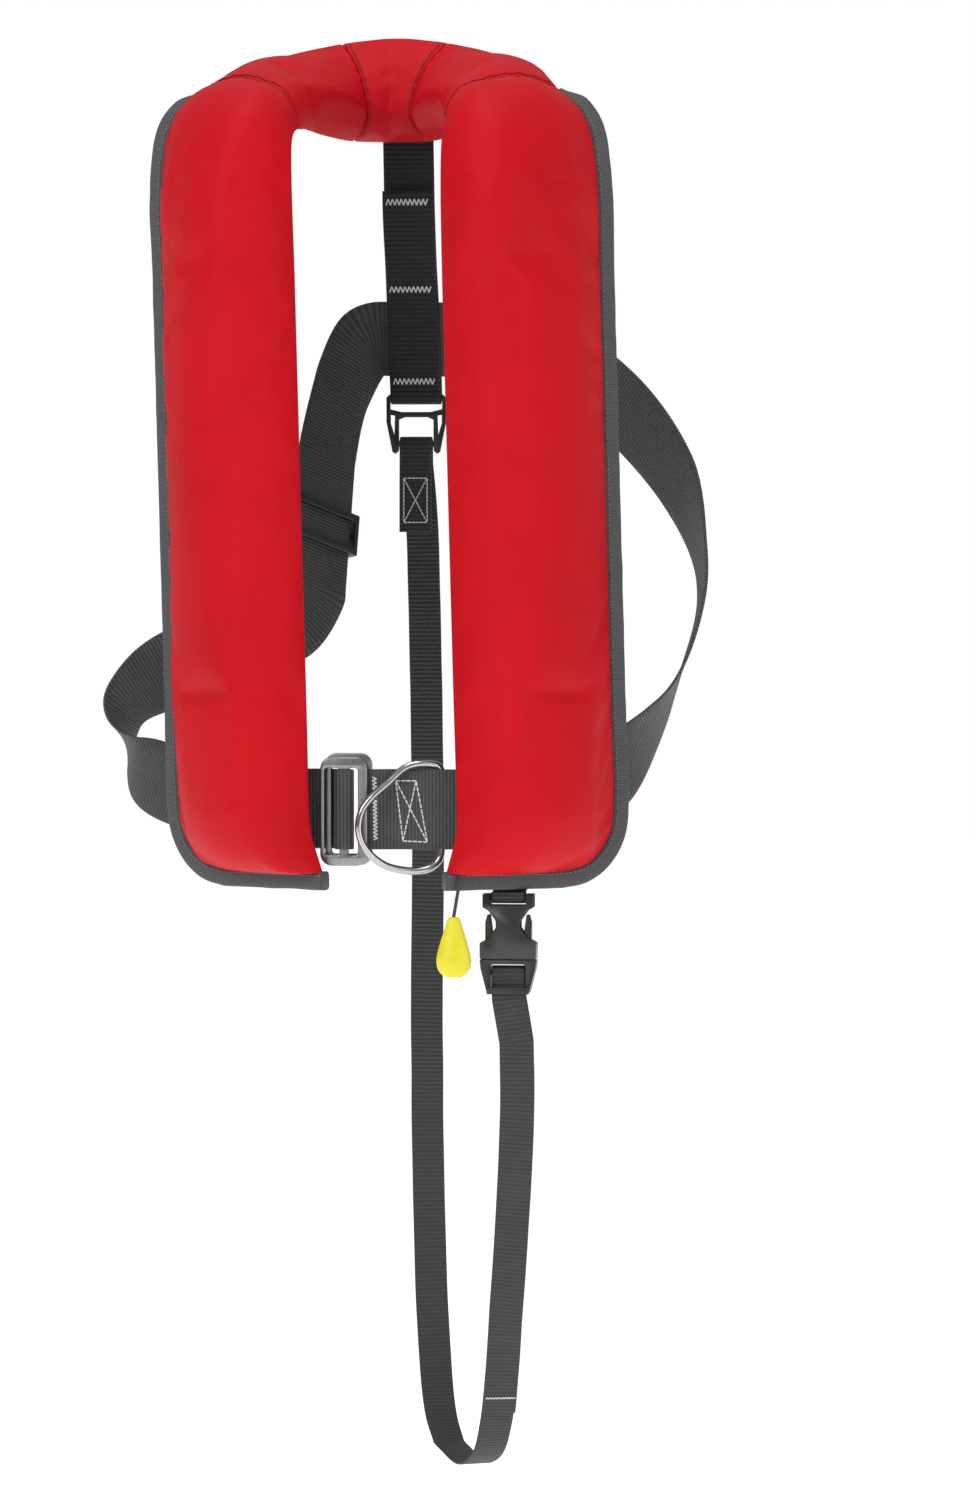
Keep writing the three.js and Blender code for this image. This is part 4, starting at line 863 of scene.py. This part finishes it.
CORD_TOP = Vector((60.0738, -97.8769, -385.0))
CORD_END = Vector((47.7207, -100.2095, -459.7925))
CORD_SIDES, CORD_STEPS, CORD_TAIL = 16, 40, 2
STRANDS, STRAND_RELIEF, STRAND_TURN = 8, 0.05, 1.3
HANDLE_PROFILE = ((0, -36), (4.6, -35.4), (8.4, -32.6), (10.1, -28.4), (10.25, -25), (9.2, -19.5), (7.3, -13),
                  (5.2, -6.5), (3.9, -2.2), (3.0, -0.7), (1.9, -0.3), (0, -0.3))
HANDLE_FLATNESS, HANDLE_SIDES, HANDLE_ROWS = 0.58, 40, 44


class LIFEJACKET_OT_pull_cord(bpy.types.Operator):
    """Adds the pull cord and its teardrop handle"""

    bl_idname = "life_jacket.pull_cord"
    bl_label = "Pull cord and handle"

    def execute(self, context):
        outline = traced(spline([(r, 0, z) for r, z in HANDLE_PROFILE]), HANDLE_ROWS)[1:-1]
        rings = [[Vector((p.x * math.cos(a), p.x * HANDLE_FLATNESS * math.sin(a), p.z)) + CORD_END
                  for a in around(HANDLE_SIDES)] for p in outline]
        uvs = [[(k, p.z) for k in range(HANDLE_SIDES)] for p in outline]
        handle = surface("pull_handle_moulding", rings, uvs, "handle")
        stands_for(handle, "pull_handle")
        down = (CORD_END - CORD_TOP).normalized()
        side = Vector((0, 1, 0)).cross(down).normalized()
        front = down.cross(side).normalized()
        total = (CORD_END - CORD_TOP).length + CORD_TAIL
        path = [CORD_TOP + down * total * k / CORD_STEPS for k in range(CORD_STEPS + 1)]
        tube = [[p + (side * math.cos(a) + front * math.sin(a)) * (
            1 + STRAND_RELIEF * math.cos(STRANDS * a + k * STRAND_TURN)) for a in around(CORD_SIDES)]
            for k, p in enumerate(path)]
        uvs = [[(n, k) for n in range(CORD_SIDES)] for k in range(len(path))]
        cord = surface("pull_cord_braid", tube, uvs, "cord")
        stands_for(cord, "pull_cord")
        return {"FINISHED"}


class LIFEJACKET_OT_covers(bpy.types.Operator):
    """Adds the five padded cover panels and the stitching along their seams"""

    bl_idname = "life_jacket.covers"
    bl_label = "Cover panels"

    def execute(self, context):
        sizes = context.scene.life_jacket_sizes
        steps, rings = cover_shape(sizes)
        run = lengths([(ring[0] + ring[len(FACE) - 1]) / 2 for ring in rings])
        for name, start, end in COVERS:
            span = range(steps.index(start), steps.index(end) + 1)
            part = [rings[k] for k in span]
            uvs = [[(u, run[k]) for u in lengths(rings[k])] for k in span]
            # A ring close to each end keeps the subdivided seam crisp.
            for a, b, place in ((0, 1, 1), (-1, -2, len(part))):
                near = [p.lerp(q, 0.2) for p, q in zip(part[a], part[b])]
                near_uv = [(u[0], mix(u[1], w[1], 0.2)) for u, w in zip(uvs[a], uvs[b])]
                part.insert(place, near)
                uvs.insert(place, near_uv)
            panel = surface(name + "_cloth", part, uvs, "cover", subdivide=1)
            stands_for(panel, name)
        lines = []
        for seam, side in zip(SEAMS, (1, 1, -1, -1)):
            a = steps.index(seam)
            sewn_rows = range(2, len(FACE) - 1)
            line = [rings[a][k].lerp(rings[a + side][k], 0.5) for k in sewn_rows]
            normals = [face_normal(rings, a, a + side, k) for k in sewn_rows]
            line, normals = spaced(line, normals, sizes.stitch / MM)
            lines.append([p + n * 0.25 for p, n in zip(line, normals)])
        sewn("cover_seam_stitches", lines, "seam_thread", ROOT, 0.78)
        return {"FINISHED"}


def face_normal(rings, a, b, k):
    """Outward direction of the cover's face between two rings."""
    across = rings[a][min(k + 1, len(FACE) - 1)] - rings[a][k - 1]
    n = (rings[b][k] - rings[a][k]).cross(across).normalized()
    lift = rings[a][k] - rings[a][len(FACE) + BACK_ROWS // 2]
    return n if n.dot(lift) > 0 else -n


PANEL_STEPS, PANEL_ROLL, ROLL_RUN = 16, 0.5, 1.2  # a panel's edges are rolled thinner over a few steps


class LIFEJACKET_OT_back_panels(bpy.types.Operator):
    """Adds the body-side panels of spacer cloth"""

    bl_idname = "life_jacket.back_panels"
    bl_label = "Back panels"

    def execute(self, context):
        shoe = horseshoe(BINDING + GAP)
        shares = [k / PANEL_STEPS for k in range(PANEL_STEPS + 1)]
        depths = [BACK_GAP + BACK_WALL - PANEL_ROLL * math.exp(-min(v, 1 - v) * PANEL_STEPS / ROLL_RUN)
                  for v in shares]
        for name, start, end in BACK_PANELS:
            rings, uvs, run = [], [], 0.0
            for s in stations(shoe, start, end, PANEL_STEP):
                i, o, n, _, x = shoe(s)
                i = i + (o - i).normalized() * INNER_TURN
                ring = [i.lerp(o, v) - n * BACK_GAP * 0.9 + x for v in shares]
                ring += [i.lerp(o, 1 - v) - n * depth + x for v, depth in zip(shares, depths)]
                if rings:
                    run += (ring[PANEL_STEPS // 2] - rings[-1][PANEL_STEPS // 2]).length
                rings.append(ring)
                uvs.append([(v * LOBE_SPAN, run) for v in shares + shares[::-1]])
            panel = surface(name + "_spacer_cloth", rings, uvs, "backing")
            stands_for(panel, name)
        return {"FINISHED"}


TAPE_SIDES, TAPE_STEP, TAPE_THICK = 20, 3.0, EDGE_DEPTH + BACK_WALL + 0.7
TAPE_SAMPLES, HEM_SAMPLES = 8, 20
TAPE_LIFT = (EDGE_DEPTH - BACK_WALL - GAP) / 2
TAPER_RUN, TAPER_WIDTH, TAPER_THICK, TAPER_SHIFT = 16, 0.35, 0.6, -0.3  # at the tape's upper end
TAPE_STITCH_INSET, TAPE_THREAD_R = 2.4, 0.00026


def squared(value, power):
    """A sine or cosine pushed towards its limits, so that a round section turns boxy."""
    return math.copysign(abs(value) ** power, value)


class LIFEJACKET_OT_edge_tape(bpy.types.Operator):
    """Adds the folded tape along the outer edges and the hem, with its rows of stitches"""

    bl_idname = "life_jacket.edge_tape"
    bl_label = "Edge tape"

    def execute(self, context):
        proud = context.scene.life_jacket_sizes.tape_proud / MM
        shoe = horseshoe(BINDING / 2)
        width = BINDING + proud
        for side, name in ((1, "right_edge_binding"), (-1, "left_edge_binding")):
            path, normals = [], []
            for k in range(SEAM_SHOULDER * TAPE_SAMPLES, -1, -1):
                s = k / TAPE_SAMPLES
                i, o, n, _, x = shoe(s if side > 0 else LAST - s)
                path.append(o + n * TAPE_LIFT + x)
                normals.append(n)
            path += [o.lerp(i, k / HEM_SAMPLES) + n * TAPE_LIFT + x for k in range(1, HEM_SAMPLES + 1)]
            normals += [n] * HEM_SAMPLES
            path, normals = spaced(path, normals, TAPE_STEP)
            rings, uvs, row = [], [], []
            for k, (p, n, run) in enumerate(zip(path, normals, lengths(path))):
                w = n.cross(heading(path, k)).normalized() * side
                start = ease(run / TAPER_RUN)
                wander = (1 - start) * TAPER_SHIFT * width + 0.35 * noise.noise(Vector((run / 16, side, 0)))
                half = TAPE_THICK / 2 + 0.3 * noise.noise(Vector((run / 11, side, 5)))
                middle = p + w * (wander - proud / 2)
                reach, depth = width / 2 * mix(TAPER_WIDTH, 1, start), half * mix(TAPER_THICK, 1, start)
                rings.append([middle + w * reach * squared(math.cos(a), 0.45)
                              + n * depth * squared(math.sin(a), 0.6) for a in around(TAPE_SIDES)])
                uvs.append([(width / 2 * math.cos(a), run) for a in around(TAPE_SIDES)])
                row.append(middle - w * (width / 2 - TAPE_STITCH_INSET) + n * (half + 0.12))
            stands_for(surface(name + "_tape", rings, uvs, "tape"), name)
            sewn(name + "_stitches", [even(row[6:], TAPE_STEP)], "tape_thread", ROOT, 0.6, TAPE_THREAD_R)
        return {"FINISHED"}


X, UP = (1, 0, 0), (0, 0, 1)


def flat(pairs):
    """Rows of a belt that stands upright, from x and y pairs."""
    return [(x, y, BELT_Z, UP) for x, y in pairs]


def hold(half, thick):
    """Distance from a square bar's middle to the middle of the webbing around it."""
    return half * math.sqrt(2) + GAP + thick / 2


RING_BAR = (38, REAR_FRAME_Y + 0.8)
RING_WIRE = 4.5
RING_HOLD = RING_WIRE / 2 + 0.8 + BELT_THICK / 2
BAR_HOLD = hold(1.2, BELT_THICK)
REAR_BAR = (-5.5, 2.5)
FRONT_BAR = (-18.85, 2.65)
LOOP_R = hold(1.8, STRAP_THICK)
BACK_LINE = [(56.5, 34), (57, 6), (60, -28), (68, -62), (79, -92), (95.3, -146), (96.6, -153)]
RING_BAR_Z = -153
RING_Y = BACK_LINE[-1][0] - LOOP_R
BACK_Y = mix(79, 95.3, (BACK_BELT_DROP - 92) / 54) - LOOP_R
BACK_UP = (0, -0.29, 0.957)
NEAR, FAR = RING_BAR[1] - RING_HOLD, RING_BAR[1] + RING_HOLD
RIGHT_BELT = [
    *flat([(58, NEAR + 1), (48, NEAR + 0.3), (RING_BAR[0], NEAR), (22, REAR_FRAME_Y - 3.4),
           (4, REAR_FRAME_Y - BAR_HOLD)]),
    *flat(arc(REAR_BAR[0], REAR_FRAME_Y, hold(REAR_BAR[1], BELT_THICK), BAR_HOLD, -90, -270, 6)),
    *flat([(4, REAR_FRAME_Y + BAR_HOLD), (22, RING_BAR[1] + 2.6), (RING_BAR[0], FAR), (48, FAR + 1)]),
    (64, -70, BELT_Z + 1, UP), (98, -50, BELT_Z + 5, UP), (128, -26, BELT_Z + 16, (0.05, -0.05, 1)),
    (158, 0, BELT_Z + 52, (0.3, -0.45, 0.85)), (180, 12, BELT_Z + 108, (0.2, -0.95, 0.3)),
    (181, 32, BELT_Z + 145, (0.2, -0.9, 0.4)), (165, 56, BELT_Z + 192, (0.35, -0.6, 0.75)),
    (128, 78, BELT_Z + 238, (0.3, -0.35, 0.9)), (84, 86, -BACK_BELT_DROP - 10, (0.05, -0.3, 0.95)),
    (44, 85, -BACK_BELT_DROP - 1, BACK_UP),
    *((x, BACK_Y, -BACK_BELT_DROP, BACK_UP) for x in (24, 8, -8, -24)),
    (-31, BACK_Y - 0.6, -BACK_BELT_DROP - 4, (-0.08, -0.3, 0.95)),
    (-43, 77, -BACK_BELT_DROP - 29, (-0.35, -0.45, 0.85)),
]
LEFT_BELT = [
    (-66, 22, -292, (-0.5, -0.55, 0.6)), (-100, 16, -304, (-0.2, -0.3, 0.9)),
    (-138, 12, -318, (-0.2, -0.3, 0.9)), (-166, 2, -342, (-0.3, -0.8, 0.5)),
    (-158, -8, -372, (-0.1, -0.4, 0.9)), (-132, -21, -387, UP),
    (-92, -45, BELT_Z + 4, UP), (-62, -63.5, BELT_Z + 1, UP),
    *flat([(-46, -73.4), (-28, -73.4), (-20, -76.2), (-15.2, -81),
           *arc(FRONT_BAR[0], FRAME_Y, hold(FRONT_BAR[1], BELT_THICK), hold(1.5, BELT_THICK), 30, -180, 8),
           (-24.4, -83), (-25, -79.5), (-30, -76.2), (-46, -76.2), (-58, -71)]),
]
STRETCH = (Vector((-50.5, 62, -188)), Vector((-52.5, 32, -270)), (-0.6, -0.72, 0.3))


def stretch(*shares):
    """Rows of the straight stretch that the slider clamps."""
    return [(*STRETCH[0].lerp(STRETCH[1], f), STRETCH[2]) for f in shares]


LOOP_STAND = ((7.2, 38), (9, 34), (17, 29), (17.2, 26), (17.2, -26), (17, -29), (9, -34), (7.2, -38))
LOOP_X, LOOP_WIDTH, LOOP_THICK = 104, 30, 1.2
CHEST_BOX = [Vector((x, -85.2, z)) for x, z in ((11.5, -381), (23.6, -381), (30.2, -417), (15.7, -416.4))]
CHEST_TACK = (Vector((-1.2, -84.85, -379)), Vector((-0.6, -84.85, -416)))


class LIFEJACKET_OT_harness_belt(bpy.types.Operator):
    """Adds the chest and back belt, its loops and its slider, with the sewing at the chest"""

    bl_idname = "life_jacket.harness_belt"
    bl_label = "Harness belt"

    def execute(self, context):
        right = sampled(RIGHT_BELT + stretch(0, 0.05, 0.1, 0.2, 0.35, 0.5), 1400)
        left = sampled(stretch(0.504, 0.65, 0.8, 0.9, 0.95, 1) + LEFT_BELT, 1100)
        belt = webbing("harness_belt_webbing", right[0] + left[0], right[1] + left[1], BELT_WIDTH, BELT_THICK,
                       "belt", 1.6, wave=0.25)
        stands_for(belt, "right_belt", "left_belt")
        softened("belt_slider_moulding", "belt_slider", "acetal", 0.7)
        for side, name in ((1, "right_belt_loop"), (-1, "left_belt_loop")):
            out = abs(side * LOOP_X - side * NECK_HALF - sway(BELT_Z))
            base = Vector((side * LOOP_X, CHEST_Y + out * (ACROSS.y / ACROSS.x), BELT_Z + 5))
            n = Vector((-side * ACROSS.y, ACROSS.x, 0))
            points = traced(spline([base + n * h + Vector((0, 0, z)) for h, z in LOOP_STAND]), 120)
            across = [Vector((ACROSS.x, side * ACROSS.y, 0))] * len(points)
            loop = webbing(name + "_webbing", points, across, LOOP_WIDTH, LOOP_THICK, "belt", 2.0)
            stands_for(loop, name)
        lines = crossed_box(*CHEST_BOX, context.scene.life_jacket_sizes.stitch / MM)
        lines.append(zigzag(*CHEST_TACK, 1.5, Vector(X), 34))
        sewn("chest_belt_stitches", lines, "thread", ROOT, 0.8)
        return {"FINISHED"}


BACK_STRAP_WIDTH, FOLD_TOP_Z = 31, -28
STRAP_WAVE = 0.3  # how far a strap's edge wanders
BAR_TACKS = (-35.5, -87, -143.4)


class LIFEJACKET_OT_back_strap(bpy.types.Operator):
    """Adds the folded back strap with its bar tacks, and the connector that hangs in it"""

    bl_idname = "life_jacket.back_strap"
    bl_label = "Back strap"

    def execute(self, context):
        down = traced(spline([(0, y, z) for y, z in BACK_LINE]), 160)
        turn = [Vector((0, y, z)) for y, z in arc(RING_Y, RING_BAR_Z, LOOP_R, LOOP_R, 0, -180, 16)]
        up = [p - Vector((0, 2 * LOOP_R, 0)) for p in reversed(down) if p.z <= FOLD_TOP_Z]
        path = down + turn[1:-1] + up
        strap = webbing("back_strap_webbing", path, [Vector(X)] * len(path), BACK_STRAP_WIDTH, STRAP_THICK,
                        "back_strap", 1.6, wave=STRAP_WAVE)
        stands_for(strap, "back_strap")
        lines = []
        for z in BAR_TACKS:
            p, q = (min(up, key=lambda point: abs(point.z - level)) for level in (z, z + 6))
            slope = (q - p).normalized()
            face = slope.cross(Vector(X)).normalized()
            centre = p + (-face if face.y > 0 else face) * (STRAP_THICK / 2 + 0.22)
            ends = (centre + Vector((x, 0, 0)) for x in (-13.2, 12.2))
            lines.append(zigzag(*ends, 1.9, slope, 19))
        sewn("back_strap_bar_tacks", lines, "thread", ROOT, 0.97)
        softened("connector_moulding", "connector_ring", "acetal", 0.8)
        return {"FINISHED"}


CROTCH_BAR_Z = RING_BAR_Z - 28.5
REAR_LEG = [(0, RING_Y + LOOP_R, CROTCH_BAR_Z - 12, X), (2.4, 103, -235, X), (3, 112, -310, X),
            (3, 124, -410, X), (1, 134, -516, X), (1, 138, -610, X), (3, 136, -690, (1, 0.05, 0)),
            (7, 126, -745, (1, 0.2, 0)), (13, 108, -780, (0.95, 0.35, 0)), (20, 92, -795, (0.88, 0.45, 0))]
FRONT_LEG = [(22.5, 87, -796.5, (0.86, 0.5, 0)), (38, 60, -803, (0.86, 0.5, 0)),
             (51, 34, -794, (0.9, 0.42, 0)), (59, 12, -772, (0.95, 0.3, 0)), (65, -8, -738, (0.98, 0.2, 0)),
             (71, -30, -690, X), (77, -49, -630, X), (81, -64, -575, X), (81.5, -70, -535, X)]
PLUG_END, WEB_BAR_Z, STRAP_BAR_Z = -506.5, -493.7, -449.3
HOLD_R = hold(1.5, STRAP_THICK)
TAIL_SPACE, TAIL_START = 3.6, 9 / 22
STRAP_BOX = ((-7.2, -21), (7.2, -21), (7.2, -48), (-7.2, -48))  # below the connector's bar
SOCKET_ROWS = ((-1.5, 9.76, 20, ACROSS), (-0.5, 9.36, 8, (0.9, 0.4, 0)), (0, 7.96, 0.5, (0.97, 0.2, 0)),
               (0, HOLD_R + 1, -1.2, X))


class LIFEJACKET_OT_crotch_strap(bpy.types.Operator):
    """Adds the crotch strap from the connector, under, and up through the plug, with its free tail"""

    bl_idname = "life_jacket.crotch_strap"
    bl_label = "Crotch strap"

    def execute(self, context):
        side = Vector(X)
        path = [Vector((0, RING_Y - LOOP_R, CROTCH_BAR_Z + z)) for z in (-54, -30, -15, 0)]
        path += [Vector((0, y, z)) for y, z in arc(RING_Y, CROTCH_BAR_Z, LOOP_R, LOOP_R, 180, 0, 16)][1:]
        across = [side] * len(path)
        for rows, steps in ((REAR_LEG, 260), (FRONT_LEG, 220)):
            leg, wide = sampled(rows, steps)
            path += leg
            across += wide
        over = [Vector((BUCKLE_X, y, z)) for y, z in arc(BUCKLE_Y, WEB_BAR_Z, HOLD_R, HOLD_R, 0, 180, 16)]
        into, out = (Vector((BUCKLE_X + 0.3, BUCKLE_Y + r, PLUG_END - 3)) for r in (HOLD_R, -HOLD_R))
        path += [into, *over, out]
        across += [side] * (len(over) + 2)
        tail = []
        for k in range(len(leg) - 1, round(len(leg) * TAIL_START), -1):
            n = wide[k].cross(heading(leg, k)).normalized()
            n = n if n.y < 0 else -n
            tail.append((leg[k] + n * TAIL_SPACE, wide[k], n))
        path += [p for p, w, n in tail]
        across += [w for p, w, n in tail]
        strap = webbing("crotch_strap_webbing", path, across, STRAP_WIDTH, STRAP_THICK, "strap", 1.5,
                        wave=STRAP_WAVE)
        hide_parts("crotch_strap_rear", "crotch_strap_front")
        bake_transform(strap)

        y = RING_Y - LOOP_R - STRAP_THICK / 2 - 0.2
        box = [Vector((x, y, CROTCH_BAR_Z + z)) for x, z in STRAP_BOX]
        sewn("crotch_strap_box_stitches", crossed_box(*box, 2.4), "thread", ROOT, 0.8)
        p, w, n = tail[-9]
        ends = [p + w.normalized() * x + n * (STRAP_THICK / 2 + 0.25) for x in (-9, 9)]
        hem = zigzag(*ends, 0.6, (tail[-12][0] - p).normalized(), 22)
        sewn("crotch_strap_hem_stitches", [hem], "thread", "plug", 0.92, 0.0003)

        held = [(BUCKLE_X + x, BUCKLE_Y + dy, HEM_Z + z, tuple(a)) for x, dy, z, a in SOCKET_ROWS]
        held += [(BUCKLE_X, y, z, X) for y, z in arc(BUCKLE_Y, STRAP_BAR_Z, HOLD_R, HOLD_R, 0, -180, 10)]
        held.append((BUCKLE_X, BUCKLE_Y - HOLD_R, HEM_Z - 1.5, X))
        short = webbing("socket_strap_webbing", *sampled(held, 200), STRAP_WIDTH, STRAP_THICK, "strap", 1.2)
        stands_for(short, "socket_strap")
        return {"FINISHED"}


class LIFEJACKET_OT_buckle(bpy.types.Operator):
    """Adds the side-release buckle: its socket, plug and two prongs"""

    bl_idname = "life_jacket.buckle"
    bl_label = "Buckle"

    def execute(self, context):
        softened("buckle_socket_moulding", "buckle_socket", "domed_acetal", 0.6)
        softened("buckle_plug_moulding", "buckle_plug", "acetal", 0.9)
        for prong in ("left_prong", "right_prong"):
            softened(prong + "_moulding", prong, "acetal", 0.5, clearance=0.2)
        return {"FINISHED"}


RING_LEAN, RING_STEPS, WIRE_SIDES = math.radians(19.8), 160, 16
RING_TOP = BELT_WIDTH / 2 + RING_WIRE / 2 + 0.9
RING_ROUTE = [(0, -18), (0, 0), (0, 18), (1.4, RING_TOP - 1.6), (6, RING_TOP), (14, RING_TOP + 0.2),
              (22, 24.5), (32, 16), (42, 7.4), (47.8, -0.4), (49.8, -10), (47.8, -19), (42, -27),
              (33.6, -32.8), (24.6, -35.3), (15.6, -36), (7, -34.4), (1.2, -29)]
FRONT_Z = BELT_Z - 1.2


class LIFEJACKET_OT_closure(bpy.types.Operator):
    """Adds the two stainless frames of the chest closure and the lifeline ring"""

    bl_idname = "life_jacket.closure"
    bl_label = "Closure frames and lifeline ring"

    def execute(self, context):
        holes = [rounded(-26, FRONT_Z, 9, 51.4, 1.8), rounded(-13.4, FRONT_Z, 5.6, 51.4, 1.8)]
        outline = rounded(-19, FRONT_Z, 28, 64, 7)
        front = plate("front_frame_steel", outline, holes, 3, 0.85, FRAME_Y, "brushed")
        stands_for(front, "front_closure_frame")
        outline, hole = rounded(-17, BELT_Z, 28, 66, 7), rounded(-17.5, BELT_Z, 19, 52.4, 2)
        rear = plate("rear_frame_steel", outline, [hole], 2.4, 0.7, REAR_FRAME_Y, "brushed")
        stands_for(rear, "rear_closure_frame")
        route = spline([(-u, 0, z) for u, z in RING_ROUTE], closed=True)
        place = Matrix.Translation((*RING_BAR, BELT_Z)) @ Matrix.Rotation(RING_LEAN, 4, "Z")
        r, y = RING_WIRE / 2, Vector((0, 1, 0))
        rings = []
        for k in range(RING_STEPS):
            p, q = route(k / RING_STEPS), route((k + 0.5) / RING_STEPS)
            side = (q - p).cross(y).normalized()
            rings.append([place @ (p + side * r * math.cos(a) + y * r * math.sin(a))
                          for a in around(WIRE_SIDES)])
        uvs = [[(n, k) for n in range(WIRE_SIDES)] for k in range(RING_STEPS)]
        stands_for(surface("lifeline_ring_steel", rings, uvs, "polished", loop=True), "lifeline_ring")
        return {"FINISHED"}


FINISHES = {"inflator_body": "nylon_grey", "lever_pin": "brushed", "firing_lever": "handle",
            "co2_cylinder": "zinc", "cylinder_seal": "rubber", "auto_cartridge": "nylon_grey",
            "oral_tube": "rubber", "oral_valve_body": "acetal", "oral_valve_poppet": "handle",
            "oral_valve_cap": "handle", "whistle": "handle"}
INFLATOR_ROOM, TUBE_ROOM = 82 + 132 + 4, 66  # above the hem, kept free of the bladder in each lobe
TUBE_LOBE = LAST - LOWER + 1  # from this station on, the bladder is thin beside the oral tube


class LIFEJACKET_OT_inside(bpy.types.Operator):
    """Adds the folded bladder, and finishes the inflator, the oral tube and the whistle inside the cover"""

    bl_idname = "life_jacket.inside"
    bl_label = "Bladder and inflator"

    def execute(self, context):
        for source, finish in FINISHES.items():
            frame["nodes"][source].material_slots[0].material = MATERIALS[finish]
        shoe = horseshoe(BINDING + GAP + 10, 7)
        finely = [k / 20 for k in range(20 * LAST)]
        start, low = (next(s for s in finely if shoe(s)[0].z > HEM_Z + room)
                      for room in (INFLATOR_ROOM, TUBE_ROOM))
        rings, uvs, run = [], [], 0.0
        for s in stations(shoe, start, LAST - low, PANEL_STEP):
            i, o, n, crown, x = shoe(s)
            high = mix(crown - 7, 12, ease((s - TUBE_LOBE) / 0.25)) * 0.97
            ring = []
            for v in FACE:
                wrinkle = 0.35 * (1 + math.sin(v * 40 + s * 2))
                ring.append(i.lerp(o, v) + n * (max(rise(v, high, 3), 5.2) - wrinkle) + x)
            ring += [i.lerp(o, v) + n * 4 + x for v in BACK]
            if rings:
                run += (ring[0] - rings[-1][0]).length
            rings.append(ring)
            uvs.append([(u, run) for u in lengths(ring)])
        bladder = surface("bladder_cloth", rings, uvs, "bladder")
        stands_for(bladder, "bladder")
        return {"FINISHED"}


class LIFEJACKET_PT_panel(bpy.types.Panel):
    """Lists the sizes, the colours and the pieces."""

    bl_idname = "LIFEJACKET_PT_panel"
    bl_label = "Life jacket"
    bl_space_type = "VIEW_3D"
    bl_region_type = "UI"
    bl_category = "Life jacket"

    def draw(self, context):
        scene = context.scene
        for group in (scene.life_jacket_sizes, scene.life_jacket_colours):
            column = self.layout.column()
            for name in group.__annotations__:
                column.prop(group, name)
        for operator in OPERATORS:
            self.layout.operator(operator.bl_idname)


OPERATORS = (LIFEJACKET_OT_stage, LIFEJACKET_OT_pull_cord, LIFEJACKET_OT_covers, LIFEJACKET_OT_back_panels,
             LIFEJACKET_OT_edge_tape, LIFEJACKET_OT_harness_belt, LIFEJACKET_OT_back_strap,
             LIFEJACKET_OT_crotch_strap, LIFEJACKET_OT_buckle, LIFEJACKET_OT_closure, LIFEJACKET_OT_inside)
CLASSES = (LifeJacketSizes, LifeJacketColours, *OPERATORS, LIFEJACKET_PT_panel)


def register():
    for kind in CLASSES:
        bpy.utils.register_class(kind)
    bpy.types.Scene.life_jacket_sizes = bpy.props.PointerProperty(type=LifeJacketSizes)
    bpy.types.Scene.life_jacket_colours = bpy.props.PointerProperty(type=LifeJacketColours)


def unregister():
    del bpy.types.Scene.life_jacket_colours
    del bpy.types.Scene.life_jacket_sizes
    for kind in reversed(CLASSES):
        bpy.utils.unregister_class(kind)


def main():
    register()
    make_materials(bpy.context.scene.life_jacket_colours)
    for operator in OPERATORS:
        group, name = operator.bl_idname.split(".")
        getattr(getattr(bpy.ops, group), name)()


if __name__ == "__main__":
    main()
